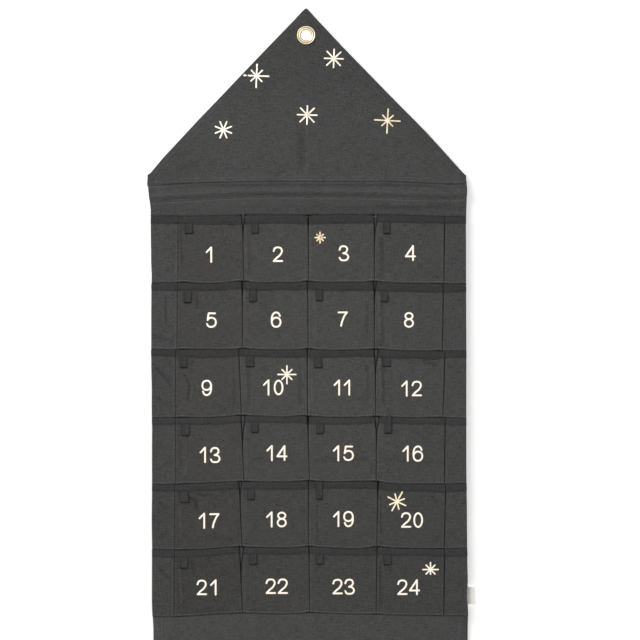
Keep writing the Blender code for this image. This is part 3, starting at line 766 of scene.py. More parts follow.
round1, round0, roundOuter = rowShape["cornerRadius"], rowShape["firstRadius"], rowShape["outerRadius"]
for row in range(6):
    for column in range(4):
        n = row * 4 + column + 1
        number = f"{n:02d}"
        pocket = BoxedCloth(row, slitEdge(row, column, 1), slitEdge(row, column + 1, 0), pocketFace(row, column),
                            round0 if column == 0 else round1, round1)
        pockets[number] = pocket
        cloth = sheetObject(f"pocketCloth_{number}", [pocket.build()], depths["cloth"], pocketCanvas)
        span = (8 if column == 0 else 3, -5 if column == 3 else -3)
        across = [tone + rowFalloffShade[row] for tone in columnTone[column]]
        # painted highlight on the pocket's folds beside the slits, left and right
        foldHighlight = (0.04 if column == 0 else 0.16, 0.10)
        toned(cloth, pocket.toneAt(n, columnTint[column], across, foldHighlight))
        root = None if n in overTape else tabs.get(n)
        tape = tapeOver(f"pocketTape_{number}", number, pocket, span, 199 + n, root)
        for obj, slotName in ((cloth, "canvas"), (tape, "ribbon")):
            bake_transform(obj)
        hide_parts(f"pocket_front_{number}")
        pieces[number] = {"cloth": cloth, "with": [tape]}
    for side, edges, radii, span in (
            ("Left", (outerEdge(row, leftSide), slitEdge(row, 0, 0)), (roundOuter, round0), (7, -8)),
            ("Right", (slitEdge(row, 4, 1), outerEdge(row, rightSide)), (round1, roundOuter), (5, -7))):
        seed = marginSeed(row, side)
        margin = BoxedCloth(row, *edges, marginFace(row, side, seed), *radii)
        cloth = sheetObject(f"margin{side}_{row + 1}", [margin.build()], depths["cloth"], canvas)
        shade = marginTone[side] + marginRowFalloffShade[side][row]
        # the last pair is painted highlight on the margin's folds beside the slits
        toned(cloth, margin.toneAt(f"{side[0]}{row + 1}", (0, 0, 0), (shade, shade), (0.05, 0.03)))
        margins[f"{side}{row + 1}"] = margin
        tape = tapeOver(f"margin{side}Tape_{row + 1}", f"{side}{row + 1}", margin, span, seed + 60)
        for obj, slotName in ((cloth, "canvas"), (tape, "ribbon")):
            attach(obj, "wall_hanging")
        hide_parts(f"row_strip_{row + 1}")
        pieces[f"{side}{row + 1}"] = {"cloth": cloth, "with": [tape]}
print("pockets and margins made")

# the pleats' inner folds, seen in the open slits at the mouths

pleatShape = {"deep": 2.6, "far": 3.0, "near": 10.7, "left": 1.1, "right": 0.9, "cloth": 0.4}
pleatPeaks = {(0, 1): 4.0, (0, 3): 3.0}  # how far one fold stands above the tape, in mm
for row in range(6):
    grids = []
    for k in (1, 2, 3):
        t = np.concatenate([np.linspace(0.01, 0.64, 8), np.linspace(0.66, 1.0, 22)])[:, None]
        c = np.linspace(-1, 1, 11)[None, :]
        lowX, highX = slitEdge(row, k, 0)(t), slitEdge(row, k, 1)(t)
        half = np.maximum(0.5 * (highX - lowX - pleatShape["left"] - pleatShape["right"]), 0.12)
        centreX = 0.5 * (lowX + highX + pleatShape["left"] - pleatShape["right"])
        x = np.clip(centreX, lowX + 0.15, highX - 0.15) + c * half
        z0, z1 = rowBottom(row, x) + 2.0, rowTop(row, x) - 0.6
        z = z0 + (z1 + pleatPeaks.get((row, k), 0.0) * (1 - np.abs(c)) * ease(0.9, 1.0, t) - z0) * t
        crest = pleatShape["far"] + (pleatShape["near"] - pleatShape["far"]) * mouths[row][k - 1][2]
        depth = pleatShape["deep"] + (crest - pleatShape["deep"]) * ease(0.62, 0.74, t) * (1 - c**6 * 0.3)
        grids.append((np.stack([x, depth, z], -1), None))
    pleat = sheetObject(f"pleatFolds_{row + 1}", grids, pleatShape["cloth"], pocketCanvas)
    # painted shade: the folds are darker than the pockets' cloth, for their place deep in the slits
    toned(pleat, lambda x, z: np.array([-0.12, -0.10, -0.08]))
    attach(pleat, "wall_hanging")
    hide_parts(f"row_strip_{row + 1}")
    pieces[f"Right{row + 1}"]["with"].append(pleat)
print("pleats made")

# the ribbon tabs

tabShape = {"ribbon": 0.42, "fold": 0.95, "lift": 0.25, "bend": 3.5, "overTape": 1.35,
            "joints": [-268.0, -362.77, -458.3, -554.48, -648.97, -741.86]}
for n, (left, right, bottom, lean) in tabs.items():
    number = f"{n:02d}"
    pocket, row = pockets[number], (n - 1) // 4
    x0, x1 = float(acrossOf(left)), float(acrossOf(right))
    middle = 0.5 * (left + right)
    tapeZ = float(heightOf(rowLines[row](middle) + tapeEdges[row](middle) - 0.1))
    topZ = tapeZ + (9.6 if n in overTape else 0.0)
    lowZ = float(heightOf(bottom))
    c = np.linspace(0, 1, 15)[None, :]
    r = tabShape["fold"]
    path = [(0.0, z) for z in np.linspace(topZ, lowZ + r, 14)]
    path += [(r - r * math.cos(a), lowZ + r - r * math.sin(a)) for a in np.radians([30, 60, 90, 120, 150])]
    path += [(2 * r, z) for z in np.linspace(lowZ + r, topZ, 14)]
    out, z = np.array(path).T[:, :, None]
    z = z + 0 * c
    down = (tapeZ - z) / (tapeZ - lowZ)
    x = x0 + (x1 - x0) * c + lean * photo["pixel"] * (down - 0.5)
    x = x - 0.35 * ease(0.75, 1.0, down) * (c - 0.5)
    x = x + overTape.get(n, 0.0) * photo["pixel"] * ease(tapeZ, topZ + 0.1, z) * (1 - c)
    above = ease(tapeZ - 2.4, tapeZ + 0.4, z) * (n in overTape)
    seat = pocket.faceDepth(x, z)
    seat = np.maximum(seat, seat.mean()) + tabShape["lift"] + tabShape["overTape"] * above
    swell = 0.15 * np.sin(np.pi * np.clip(down, 0, 1)) + 0.06 * softNoise(x, z, 4, 500 + n)
    bulge = 0.10 * (1 - (2 * c - 1) ** 2)
    flat = 1 - 0.5 * ease(0.9, 0.0, down)
    grid = np.stack([x, seat + out * flat + (swell + bulge) * (out / r), z], -1)
    tab = sheetObject(f"ribbonTab_{number}", [(grid, None)], tabShape["ribbon"], ribbonCloth)

    def tabTone(x, z, x0=x0, x1=x1, tapeZ=tapeZ, lowZ=lowZ, lean=lean):
        down = (tapeZ - z) / (tapeZ - lowZ)
        c = (x - x0 - lean * photo["pixel"] * (down - 0.5)) / (x1 - x0)
        # painted shade: the tab's left and right edges and its bottom fold are darkened for the shade and shadow there;
        # the lighter line is a thread
        edges = -0.45 * ease(0.10, 0.02, c) - 0.15 * ease(0.88, 0.97, c) - 0.75 * ease(0.86, 0.97, down)
        thread = hump(c, 0.77, 0.05) * ease(0.86, 0.76, down)
        return edges[:, None] + thread[:, None] * np.array([0.25, 0.42, 0.42])

    toned(tab, tabTone)
    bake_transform(tab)
    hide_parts(f"ribbon_tab_{number}")
    pieces[number]["with"].append(tab)
print("tabs made:", len(tabs))

# the gable

gableShape = {"hemIn": 9.0, "edgeDrop": 1.6, "hole": 9.0, "columns": 226, "rows": 112, "thick": 1.1}
foldLine = smoothLine([146, 186.3, 149, 186, 163, 184.5, 180, 183, 200, 182.4, 240, 181.3, 345, 181.2,
                       390, 181.0, 420, 182.1, 452, 183.6, 468, 183.1])
stitchLine = smoothLine([146, 204.4, 151, 204.2, 165, 202.6, 180, 202, 200, 201.1, 220, 199.7, 240, 198.7,
                         320, 198.4, 380, 199.4, 455, 200.5, 468, 199.5])
headerShape = {"top": 7.1, "rise": (0.18, 0.46), "fall": (0.60, 0.93), "hem": 0.4, "wrap": 6.6,
               "rodZ": -219.75, "rodDepth": 6.8}


def foldRows(*rows):
    # each fold is its width, its height and how far its ends fade, in mm, then its points in pixels
    return [(pixelLine(places), width, height, fade) for width, height, fade, *places in rows]


headerFolds = foldRows(
    (2.4, 1.3, 6.0, 436, 192, 446, 194.5, 456, 199.5),
    (1.8, -0.9, 6.0, 430, 188, 444, 190.5, 455, 195),
    (2.6, -1.3, 6.0, 424, 207, 438, 206, 454, 202.5),
    (3.0, -0.8, 14, 375, 207.5, 425, 208.5),
    (2.5, 0.5, 14, 385, 204.0, 430, 204.5),
    (1.8, -0.5, 14, 160, 188.5, 185, 186.5, 230, 186),
    (1.4, -1.2, 2, 150, 213, 158, 210.8),
)
gableFolds = foldRows(
    (1.2, 0.35, 6.0, 307.2, 62, 307, 178),
    (5.0, -1.0, 22, 300.5, 122, 303, 150, 300, 178),
    (1.5, -1.0, 4, 266, 170.8, 276, 173.3, 285, 170.8),
    (1.2, 0.6, 2, 240, 180.5, 246, 178.3),
    (2.0, -0.5, 6.0, 172, 155, 196, 153.5),
    (4.0, -0.7, 6.0, 178, 172, 200, 160),
)


def foldsIn(folds, x, z):
    return sum(foldAlong(x, z, *fold) for fold in folds)


def sleeveShare(px, py):
    # 0 at the fold under the gable and 1 at the stitch under the sleeve
    return (py - foldLine(px)) / (stitchLine(px) - foldLine(px))


def headerDepth(x, z):
    shape, px = headerShape, pixelAcross(x)
    s = sleeveShare(px, pixelDown(z))
    rise = ease(*shape["rise"], s) * (1 - ease(*shape["fall"], s))
    base = shape["top"] + (depths["header"] - shape["top"]) * ease(0, 1, s)
    surface = base + (depths["sleeve"] - base) * rise
    away = np.minimum(np.abs(z - shape["rodZ"]) / shape["wrap"], 1)
    cover = shape["rodDepth"] + shape["wrap"] * np.sqrt(1 - away**2)
    surface = np.logaddexp(surface * 2.5, cover * 2.5) / 2.5
    surface = surface + 0.12 * softNoise(x, z, 9, 21) + 0.25 * softNoise(x, z, 30, 22)
    surface = surface - 0.8 * hump(s, 0.26, 0.08) - 0.35 * hump(s, 1.0, 0.03) + 0.35 * hump(s, 0.93, 0.03)
    surface = surface + shape["hem"] * (ease(159.6, 158.2, px) + ease(456.4, 458.0, px))
    return np.maximum(surface + foldsIn(headerFolds, x, z), cover)


roofLine = pairsOf([
    147, 175.6, 150.5, 173.2, 162.5, 158.5, 174.5, 145.5, 186.5, 132.5, 198.5, 119.5, 210.5, 107.1,
    222.5, 94.6, 234.5, 81.9, 246.5, 69.4, 258.5, 56.8, 270.5, 44.3, 282.5, 31.9, 294.5, 19.6,
    300.5, 12.9, 303.5, 9.8, 305.5, 8.1, 306.5, 7.8, 307.5, 8.6, 310.5, 12.1, 318.5, 20.9, 330.5, 33.6,
    342.5, 46.5, 354.5, 58.8, 366.5, 71.1, 378.5, 83.5, 390.5, 95.7, 402.5, 107.9, 414.5, 119.9,
    426.5, 132.2, 438.5, 145.3, 450.5, 158.9, 462.5, 172.3, 466, 175.4,
])


def roofHeight(x):
    return heightOf(np.interp(pixelAcross(x), *roofLine.T))


def gableDepth(x, z):
    footZ = heightOf(foldLine(pixelAcross(x)))
    foot = headerDepth(x, footZ) + gableShape["thick"] + 0.2
    low = ease(footZ + 92, footZ, z) * 0.5 + ease(footZ + 14, footZ, z) * 0.5
    surface = depths["gable"] + (foot - depths["gable"]) * low
    inward = (roofHeight(x) - z) * 0.69
    surface = surface - gableShape["edgeDrop"] * (1 - ease(0, 12, inward))
    surface = surface + 0.55 * (1 - ease(7.0, 9.6, inward)) - 0.55 * hump(inward, gableShape["hemIn"], 0.9)
    surface = surface + foldsIn(gableFolds, x, z)
    stitched = (z - footZ) / photo["pixel"]
    surface = surface - 0.25 * hump(stitched, 1.8, 0.5) - 0.15 * hump(stitched, 4.8, 0.5)
    return surface + 0.25 * softNoise(x, z, 40, 7) + 0.12 * softNoise(x + z, z - x, 17, 8)


xs = np.linspace(float(acrossOf(147.8)), float(acrossOf(466)), gableShape["columns"])
t = np.linspace(0, 1, gableShape["rows"])[:, None]
low = heightOf(foldLine(pixelAcross(xs)))[None, :]
high = np.maximum(roofHeight(xs), heightOf(177.6))[None, :]
gz = low + (high - low) * t
gx = np.broadcast_to(xs[None, :], gz.shape).copy()
middles = [0.25 * (g[:-1, :-1] + g[1:, 1:] + g[:-1, 1:] + g[1:, :-1]) for g in (gx, gz)]
keep = np.hypot(*middles) > gableShape["hole"]
touched = np.zeros(gx.shape, bool)
for a in (slice(None, -1), slice(1, None)):
    for b in (slice(None, -1), slice(1, None)):
        touched[a, b] |= ~keep
radius = np.maximum(np.hypot(gx, gz), 0.1)
gx = np.where(touched, gx / radius * gableShape["hole"], gx)
gz = np.where(touched, gz / radius * gableShape["hole"], gz)
gableGrid = np.stack([gx, gableDepth(gx, gz), gz], -1)
gableCloth = sheetObject("gableCloth", [(gableGrid, keep)], gableShape["thick"], canvas)


def gableTone(x, z):
    px, py = pixelAcross(x), pixelDown(z)
    shade = -0.03 - 0.08 * ease(120, 60, py) - 0.06 * ease(220, 180, px) * ease(130, 160, py)
    # painted highlight on the raised folds and painted shade in their grooves
    return (shade + 0.15 * foldsIn(gableFolds, x, z))[:, None] + np.zeros(3)


toned(gableCloth, gableTone)
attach(gableCloth, "wall_hanging")
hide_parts("gable_panel")
print("gable made")

# the header: the sleeve round the rod, and the plain cloth under it

columns = 226
sides = np.linspace(0, 1, columns)[None, :]
profile = np.concatenate([np.linspace(1.9, 1.03, 16), np.linspace(1.0, 0.0, 50)])[:, None]
px = 148.0 + 318.0 * sides + 0 * profile
foot = rowLines[0](px) - 0.15 - 0.5 * nearDivision(0, px, 0, 4.0)
up, down = foldLine(px), stitchLine(px)
rowPx = np.where(profile <= 1, up + (down - up) * profile, down + (foot - down) * (profile - 1) / 0.9)
hx = betweenSides(rowPx, sides)
hz = heightOf(rowPx)
hd = headerDepth(hx, hz) + 0.35 * hump(hz - hz[:1], 2.2, 1.2)
front = np.stack([hx, hd, hz], -1)
turnIn = [front[0] - [0, back, lower] for back, lower in ((3.2, 0.5), (1.7, 0.5), (0.55, 0.2))]
tuck = [front[-1] + [0, -back, rise] for rise, back in ((1.2, 0.5), (2.6, 1.2), (3.2, 2.2), (2.6, 3.2))]
backRows = []
for share in np.linspace(0.02, 1, 30):
    line = front[-1] - [0, 3.2, 0]
    line[:, 1] = line[:, 1] + (0.30 - line[:, 1]) * ease(0, 0.16, share)
    line[:, 2] = line[:, 2] + 2.6 - share * 52.0
    line[:, 0] = betweenSides(pixelDown(line[:, 2]), sides[0])
    backRows.append(line)
headerGrid = np.concatenate([np.array(turnIn), front, np.array(tuck), np.array(backRows)])
headerCloth = sheetObject("headerCloth", [(headerGrid, None)], depths["cloth"], canvas)


def headerTone(x, z):
    px, py = pixelAcross(x), pixelDown(z)
    s = sleeveShare(px, py)
    # painted highlight and shade across the sleeve: lighter on its crests, darker in its hollows, in the trough under
    # the stitch and along the folds
    ridge = 0.25 * hump(s, 0.06, 0.07) - 0.12 * hump(s, 0.26, 0.07)
    ridge = ridge + 0.10 * hump(s, 0.57, 0.08) + 0.12 * hump(s, 0.76, 0.10)
    troughShade = -hump(py, 207.8, 3.2) * (0.06 + 0.12 * ease(200, 400, px))
    return (ridge + troughShade + 0.08 * foldsIn(headerFolds, x, z))[:, None] + np.zeros(3)


toned(headerCloth, headerTone)
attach(headerCloth, "wall_hanging")
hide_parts("header_band")
print("header made")

# the back panel, its hems, and the plain cloth under the last row

backShape = {"top": -258.0, "bottom": -880.0, "hem": 13.0, "depth": 1.9, "columns": 90}
across = np.linspace(0, 1, backShape["columns"])[None, :]


def bodyAcross(z, share, inset):
    return betweenSides(pixelDown(z), share, inset)


bz = np.linspace(backShape["bottom"], backShape["top"], 120)[:, None] + 0 * across
bx = bodyAcross(bz, across, 0.4)
bd = backShape["depth"] + 0.05 * softNoise(bx, bz, 30, 41)
backCloth = sheetObject("backCloth", [(np.stack([bx, bd, bz], -1), None)], 1.0, canvas)
hems = []
for side in (0, 1):
    z = np.linspace(backShape["bottom"] + 14, -260.0, 200)[:, None]
    edge = bodyAcross(z, side, 0.5)
    x = edge + np.linspace(-side * backShape["hem"], (1 - side) * backShape["hem"], 8)[None, :]
    hems.append((np.stack([x, 0.85 + 0.05 * softNoise(x, z + 0 * x, 12, 61), z + 0 * x], -1), None))
z = np.linspace(backShape["bottom"], backShape["bottom"] + 13.5, 8)[:, None] + 0 * across
hems.append((np.stack([bodyAcross(z, across, 0.5), 0.85 + 0.05 * softNoise(z, z, 12, 62), z], -1), None))
backHems = sheetObject("backHems", hems, 0.7, canvas)

rise = np.linspace(0, 1, 40)[:, None]
fx0 = 152.3 + 314.4 * across
footPx = pixelDown(backShape["bottom"])
fy = footPx + (rowLines[6](fx0) + 0.35 - footPx) * rise
fz = heightOf(fy)
fx = bodyAcross(fz, across, 0.0)
fd = 3.6 + 6.0 * ease(0.1, 1.0, rise) + 0.14 * softNoise(fx, fz, 25, 43) + 0.07 * softNoise(fx, fz, 9, 44)
fd = fd - 5.5 * (1 - ease(0, 4.0, fx - fx[:, :1])) - 5.5 * (1 - ease(0, 4.0, fx[:, -1:] - fx))
fd = np.maximum(fd, 2.95)  # clear of the back
footerCloth = sheetObject("footerCloth", [(np.stack([fx, fd, fz], -1), None)], depths["cloth"], canvas)
for obj in (backCloth, backHems, footerCloth):
    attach(obj, "wall_hanging")
    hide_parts("back_panel")
print("back and footer made")

# the eyelet: a turned flange with its barrel, and the washer behind

flangeShape = [  # radius and depth from the wall, round the section, in mm
    6.95, 1.5, 6.90, 3.0, 6.90, 4.2, 7.00, 4.75, 7.35, 5.20, 7.90, 5.50, 8.40, 5.68, 8.80, 5.95,
    9.30, 6.10, 9.80, 5.95, 10.15, 5.60, 10.5, 5.25, 10.85, 5.12, 11.2, 5.25, 11.5, 5.60, 11.85, 5.92,
    12.3, 6.02, 12.7, 5.85, 12.95, 5.45, 13.08, 4.95, 13.05, 4.45, 12.8, 4.10, 12.2, 4.02, 9.2, 4.02,
    8.2, 3.8, 7.75, 3.2, 7.6, 1.5, 7.2, 1.36,
]
# painted reflection: where this falls to 0, in the flange's grooves, the brass turns a deeper brown-gold for the dark
# cloth it reflects
flangePaintedReflection = [0.2, 0.2, 0.1, 0.1, 0.2, 0.15, 0.4, 0.95, 1.0, 0.9, 0.3, 0.0, 0.0, 0.1, 0.5, 0.95, 1.0, 0.95, 0.7]
flangePaintedReflection += [0.3] * 9
washerShape = [
    8.0, 1.55, 8.25, 1.42, 9.2, 1.40, 11.4, 1.42, 12.2, 1.60, 12.45, 1.90, 12.3, 2.15, 11.9, 2.26,
    9.0, 2.28, 8.2, 2.26, 7.95, 2.0,
]


def turnedRing(name, section, shine, steps, material):
    section = pairsOf(section)
    turns = np.linspace(0, 2 * math.pi, steps, endpoint=False)
    r, d = section.T
    points = np.stack([np.outer(np.cos(turns), r), np.broadcast_to(d, (steps, len(d))), np.outer(np.sin(turns), r)], -1)
    index = np.arange(steps * len(d)).reshape(steps, len(d))
    after, along = np.roll(index, -1, 0), np.roll(index, -1, 1)
    faces = np.stack([index, along, np.roll(after, -1, 1), after], -1).reshape(-1, 4)
    ring = meshObject(name, points.reshape(-1, 3), faces, material)
    brightened(ring, np.tile(np.broadcast_to(np.array(shine, float), len(d)), steps))
    return ring


flange = turnedRing("eyeletFlange", flangeShape, flangePaintedReflection, 96, brass)
washer = turnedRing("eyeletWasher", washerShape, 1.0, 72, brass)
for obj, nodeName in ((flange, "eyelet_flange"), (washer, "eyelet_washer")):
    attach(obj, "wall_hanging")
    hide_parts(nodeName)
print("eyelet made")

# the rod in the sleeve, with eased ends

rodShape = {"radius": 5.3, "left": -215.4, "right": 224.0, "ease": 1.2, "depth": headerShape["rodDepth"],
            "z": headerShape["rodZ"], "turns": 40, "stations": 30}
turns = np.linspace(0, 2 * math.pi, rodShape["turns"], endpoint=False)
stations = [(0.0, 0.02), (0.0, 0.45), (0.05, 0.75), (0.35, 0.93), (1.0, 1.0)]
length = rodShape["right"] - rodShape["left"]
along = [s * rodShape["ease"] for s, _ in stations] + list(np.linspace(12, length - 12, rodShape["stations"]))
along += [length - s * rodShape["ease"] for s, _ in stations[::-1]]
wide = [r for _, r in stations] + [1.0] * rodShape["stations"] + [r for _, r in stations[::-1]]
rings = [np.stack([np.full(len(turns), rodShape["left"] + a),
                   rodShape["depth"] + rodShape["radius"] * w * np.cos(turns),
                   rodShape["z"] + rodShape["radius"] * w * np.sin(turns)], -1) for a, w in zip(along, wide)]
rodPoints = np.concatenate(rings)
index = np.arange(len(rodPoints)).reshape(len(rings), -1)
rodFaces = np.stack([index[:-1], index[1:], np.roll(index[1:], -1, 1), np.roll(index[:-1], -1, 1)], -1).reshape(-1, 4)
rod = meshObject("sleeveRod", rodPoints, list(rodFaces) + [list(index[0]), list(index[-1][::-1])], wood)
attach(rod, "rod")
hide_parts("top_rod")

# the blank folded label in the right-hand seam

labelShape = {"left": 227.2, "right": 240.0, "top": -782.2, "bottom": -806.4, "front": 1.75, "back": 0.65,
              "cloth": 0.34, "tilt": 0.20}
r = 0.5 * (labelShape["front"] - labelShape["back"])
path = [(x, labelShape["front"]) for x in np.linspace(labelShape["left"], labelShape["right"] - r, 12)]
path += [(labelShape["right"] - r + r * math.sin(a), labelShape["back"] + r + r * math.cos(a))
         for a in np.radians([30, 60, 90, 120, 150])]
path += [(x, labelShape["back"]) for x in np.linspace(labelShape["right"] - r, labelShape["left"], 12)]
lx, ld = np.array(path).T[:, None, :]
lz = np.linspace(labelShape["bottom"], labelShape["top"], 22)[:, None] + 0 * lx
share = (lx - labelShape["left"]) / (labelShape["right"] - labelShape["left"])
wave = 0.25 * share**2 * np.sin((lz - labelShape["bottom"]) / 24.0 * 2.6 + 0.4)
ld = ld + wave + 0.06 * softNoise(lx + 9 * ld, lz, 5, 71)
ld = ld + labelShape["tilt"] * (lx - labelShape["left"])
label = sheetObject("sideLabel", [(np.stack([lx + 0 * lz, ld, lz], -1), None)], labelShape["cloth"], labelCloth)
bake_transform(label)
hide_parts("side_label")
print("rod and label made")

# the foil numerals and stars: strokes in pixels from each figure's centre, y up


def ovalStroke(cx, cy, rx, ry):
    a = np.linspace(0, 2 * math.pi, 41)
    return np.stack([cx + rx * np.cos(a), cy + ry * np.sin(a)], -1)


def curveStroke(*numbers):
    points = pairsOf(numbers)
    run = np.concatenate([[0], np.cumsum(np.hypot(*np.diff(points, axis=0).T))])
    across, up = smoothLine(list(zip(run, points[:, 0]))), smoothLine(list(zip(run, points[:, 1])))
    q = np.linspace(0, run[-1], 8 * len(points))
    return np.stack([across(q), up(q)], -1)


def straight(*numbers):
    return pairsOf(numbers)


def rayTo(degrees, length):
    a = math.radians(degrees)
    return pairsOf([0, 0, length * math.cos(a), length * math.sin(a)])


six = curveStroke(4.0, 3.75, 2.7, 6.4, -0.1, 7.45, -3.0, 5.9, -4.4, 2.6, -4.65, -1.0, -4.1, -4.6,
                  -2.6, -6.7, -0.1, -7.45, 3.3, -6.2, 4.7, -2.7, 3.4, 0.9, -0.1, 2.1, -3.1, 0.9,
                  -4.3, -1.2)
figures = {
    "0": [ovalStroke(0, 0, 4.2, 7.1)],
    "1": [straight(-2.3, 2.6, 2.6, 7.5, 2.6, -7.4)],
    "2": [curveStroke(-4.5, 3.3, -3.3, 6.1, -0.2, 7.15, 3.2, 6.2, 4.3, 3.6, 2.7, -0.25, -1.5, -4.05,
                      -4.35, -7.05), straight(-4.35, -7.0, 4.6, -6.95)],
    "3": [curveStroke(-4.5, 3.5, -3.3, 6.3, -0.1, 7.3, 2.7, 6.3, 3.6, 4.0, 2.4, 1.3, -0.6, -0.1),
          curveStroke(-0.6, -0.1, 3.0, -1.0, 4.7, -3.9, 3.4, -6.5, 0.1, -7.4, -3.2, -6.7, -4.5, -4.6)],
    "4": [straight(2.7, -7.2, 2.7, 7.4, -4.9, -3.3, 4.9, -3.3)],
    "5": [straight(3.9, 7.0, -2.8, 7.0, -4.0, 0.15),
          curveStroke(-4.0, 0.15, -2.4, 1.9, 0, 2.5, 3.4, 1.4, 4.8, -1.95, 3.6, -5.6, 0, -7.0,
                      -3.1, -6.2, -4.6, -4.05)],
    "6": [six],
    "7": [straight(-4.3, 6.9, 4.6, 7.0),
          curveStroke(4.6, 7.0, 2.2, 3.7, 0.3, -0.3, -0.9, -3.6, -1.6, -6.9)],
    "8": [ovalStroke(0, 4.0, 3.8, 3.15), ovalStroke(0, -3.25, 4.3, 3.9)],
    "9": [-six],
}
numeralPlaces = {  # the middle of each numeral
    1: (209.1, 254.6), 2: (278.0, 254.2), 3: (343.9, 253.25), 4: (410.35, 253.05), 5: (211.6, 320.1), 6: (276.2, 319.6),
    7: (342.75, 319.0), 8: (408.85, 319.85), 9: (206.95, 387.85), 10: (273.3, 387.4), 11: (341.85, 387.55),
    12: (411.5, 388.5), 13: (210.2, 454.9), 14: (277.0, 453.05), 15: (343.3, 453.2), 16: (412.6, 453.55),
    17: (209.25, 520.75), 18: (276.5, 519.4), 19: (343.35, 519.0), 20: (411.85, 520.0), 21: (206.75, 587.4),
    22: (276.85, 586.2), 23: (343.6, 586.7), 24: (408.45, 587.15),
}
foilShape = {"stroke": 1.03, "starStroke": 0.86, "step": 0.40, "film": 0.10, "swell": 0.14, "wide": 0.94, "high": 0.965,
             "rim": 0.75}
pairSpace = {"1": 11.3, "2": 12.05, "11": 10.1, "21": 12.6}  # between two figures' middles


def armsOf(centre, lengths, turn=0.0):
    # a star of rounded arms: lengths in pixels, from the right-hand arm round to the left in even turns
    return centre, [rayTo(turn + 360.0 * k / len(lengths), length) for k, length in enumerate(lengths)]


def foilFilm(name, centre, strokes, stroke, surface, material, core=0.0):
    # a closed thin film: the cells of a fine grid inside the strokes, cut along their outline
    segments = np.concatenate([np.stack([s[:-1], s[1:]], 1) for s in strokes]) * photo["pixel"]
    radius, step = stroke * photo["pixel"], foilShape["step"]
    low, high = segments.min((0, 1)) - radius - step, segments.max((0, 1)) + radius + step
    gx, gz = np.meshgrid(np.arange(low[0], high[0], step), np.arange(low[1], high[1], step))
    inside = np.full(gx.shape, -1e9)
    for a, b in segments:
        d = b - a
        t = np.clip(((gx - a[0]) * d[0] + (gz - a[1]) * d[1]) / max(d @ d, 1e-9), 0, 1)
        inside = np.maximum(inside, radius - np.hypot(gx - a[0] - t * d[0], gz - a[1] - t * d[1]))
    points, depthIn, edgeOf, nodeOf, faces = [], [], {}, {}, []

    def nodeAt(i, j):
        if (i, j) not in nodeOf:
            nodeOf[i, j] = len(points)
            points.extend([(gx[i, j], gz[i, j])] * 2)
            depthIn.extend([(inside[i, j], 1), (inside[i, j], -1)])
        return nodeOf[i, j]

    def crossing(p, q):
        key = (min(p, q), max(p, q))
        if key not in edgeOf:
            u, v = inside[key[0]], inside[key[1]]
            t = u / (u - v)
            edgeOf[key] = len(points)
            points.append((gx[key[0]] + t * (gx[key[1]] - gx[key[0]]), gz[key[0]] + t * (gz[key[1]] - gz[key[0]])))
            depthIn.append((0.0, 0))
        return edgeOf[key]

    hit = inside > 0
    some = hit[:-1, :-1] | hit[1:, :-1] | hit[:-1, 1:] | hit[1:, 1:]
    for i, j in zip(*np.nonzero(some)):
        corners = [(i, j), (i, j + 1), (i + 1, j + 1), (i + 1, j)]
        top, under = [], []
        for p, q in zip(corners, corners[1:] + corners[:1]):
            if hit[p]:
                v = nodeAt(*p)
                top.append(v)
                under.append(v + 1)
            if hit[p] != hit[q]:
                v = crossing(p, q)
                top.append(v)
                under.append(v)
        faces.append(top)
        faces.append(under[::-1])
    middle = np.hypot(*np.array(points).T)
    place = np.array(points) + [float(acrossOf(centre[0])), float(heightOf(centre[1]))]
    depthIn = np.array(depthIn)
    lift = foilShape["film"] + 0.04 * (depthIn[:, 1] >= 0)
    lift = lift + foilShape["swell"] * (1 - np.exp(-np.abs(depthIn[:, 0]) / 0.6)) * (depthIn[:, 1] > 0)
    depth = surface(place[:, 0], place[:, 1]) + lift
    film = meshObject(name, np.stack([place[:, 0], depth, place[:, 1]], -1), faces, material)
    brightened(film, ease(0.0, foilShape["rim"], depthIn[:, 0]) * (1 - core * ease(5.5, 1.5, middle)))
    return film


for n, centre in numeralPlaces.items():
    number, text = f"{n:02d}", str(n)
    space = pairSpace.get(text, pairSpace[text[0]] if len(text) > 1 else 0.0)
    size = [foilShape["wide"], foilShape["high"]]
    strokes = [s * size + [space * (k - 0.5 * (len(text) - 1)) - 1.2 * (figure == "1"), 0.0]
               for k, figure in enumerate(text) for s in figures[figure]]
    ends = np.concatenate(strokes)
    middle = 0.5 * (ends.min(0) + ends.max(0))
    strokes = [s - middle for s in strokes]
    centre = (centre[0], centre[1] - 0.0015 * (centre[1] - 354))
    film = foilFilm(f"numeral_{number}", centre, strokes, foilShape["stroke"], pockets[number].faceDepth, foil)
    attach(film, f"pocket_{number}")
gableStars = {
    "starLeft": (armsOf((256.5, 75.4), (12.2, 7.9, 11.5, 7.4, 8.2, 7.6, 11.7, 7.7), -2.2), foil, 0.0),
    "starUpper": (armsOf((333.9, 58.1), (9.4, 9.4, 9.4, 9.8, 9.4, 9.7, 8.9, 9.4), -2.0), foil, 0.4),
    "starLower": (armsOf((223.3, 129.5), (8.7,) * 8, 22.5), foil, 0.0),
    "starMiddle": (armsOf((307.2, 114.6), (9.8, 9.7, 9.1, 9.5, 9.8, 9.8, 9.2, 9.8), -1.5), foil, 0.5),
    "starRight": (armsOf((387.7, 120.2), (12.6, 7.4, 11.5, 7.3, 13.0, 7.5, 12.6, 7.6), -3.1), wornFoil, -0.3),
}
brokenArm = math.radians(180 - 2.2)  # the left star's left arm has a small gap over the hem
ends = [(r * math.cos(brokenArm), r * math.sin(brokenArm)) for r in (10.9, 12.4)]
gableStars["starLeft"][0][1].append(np.array(ends))
for name, ((centre, strokes), material, core) in gableStars.items():
    wide = foilShape["starStroke"] * (0.93 if name == "starRight" else 1.0)
    film = foilFilm(name, centre, strokes, wide, gableDepth, material, core)
    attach(film, "wall_hanging")
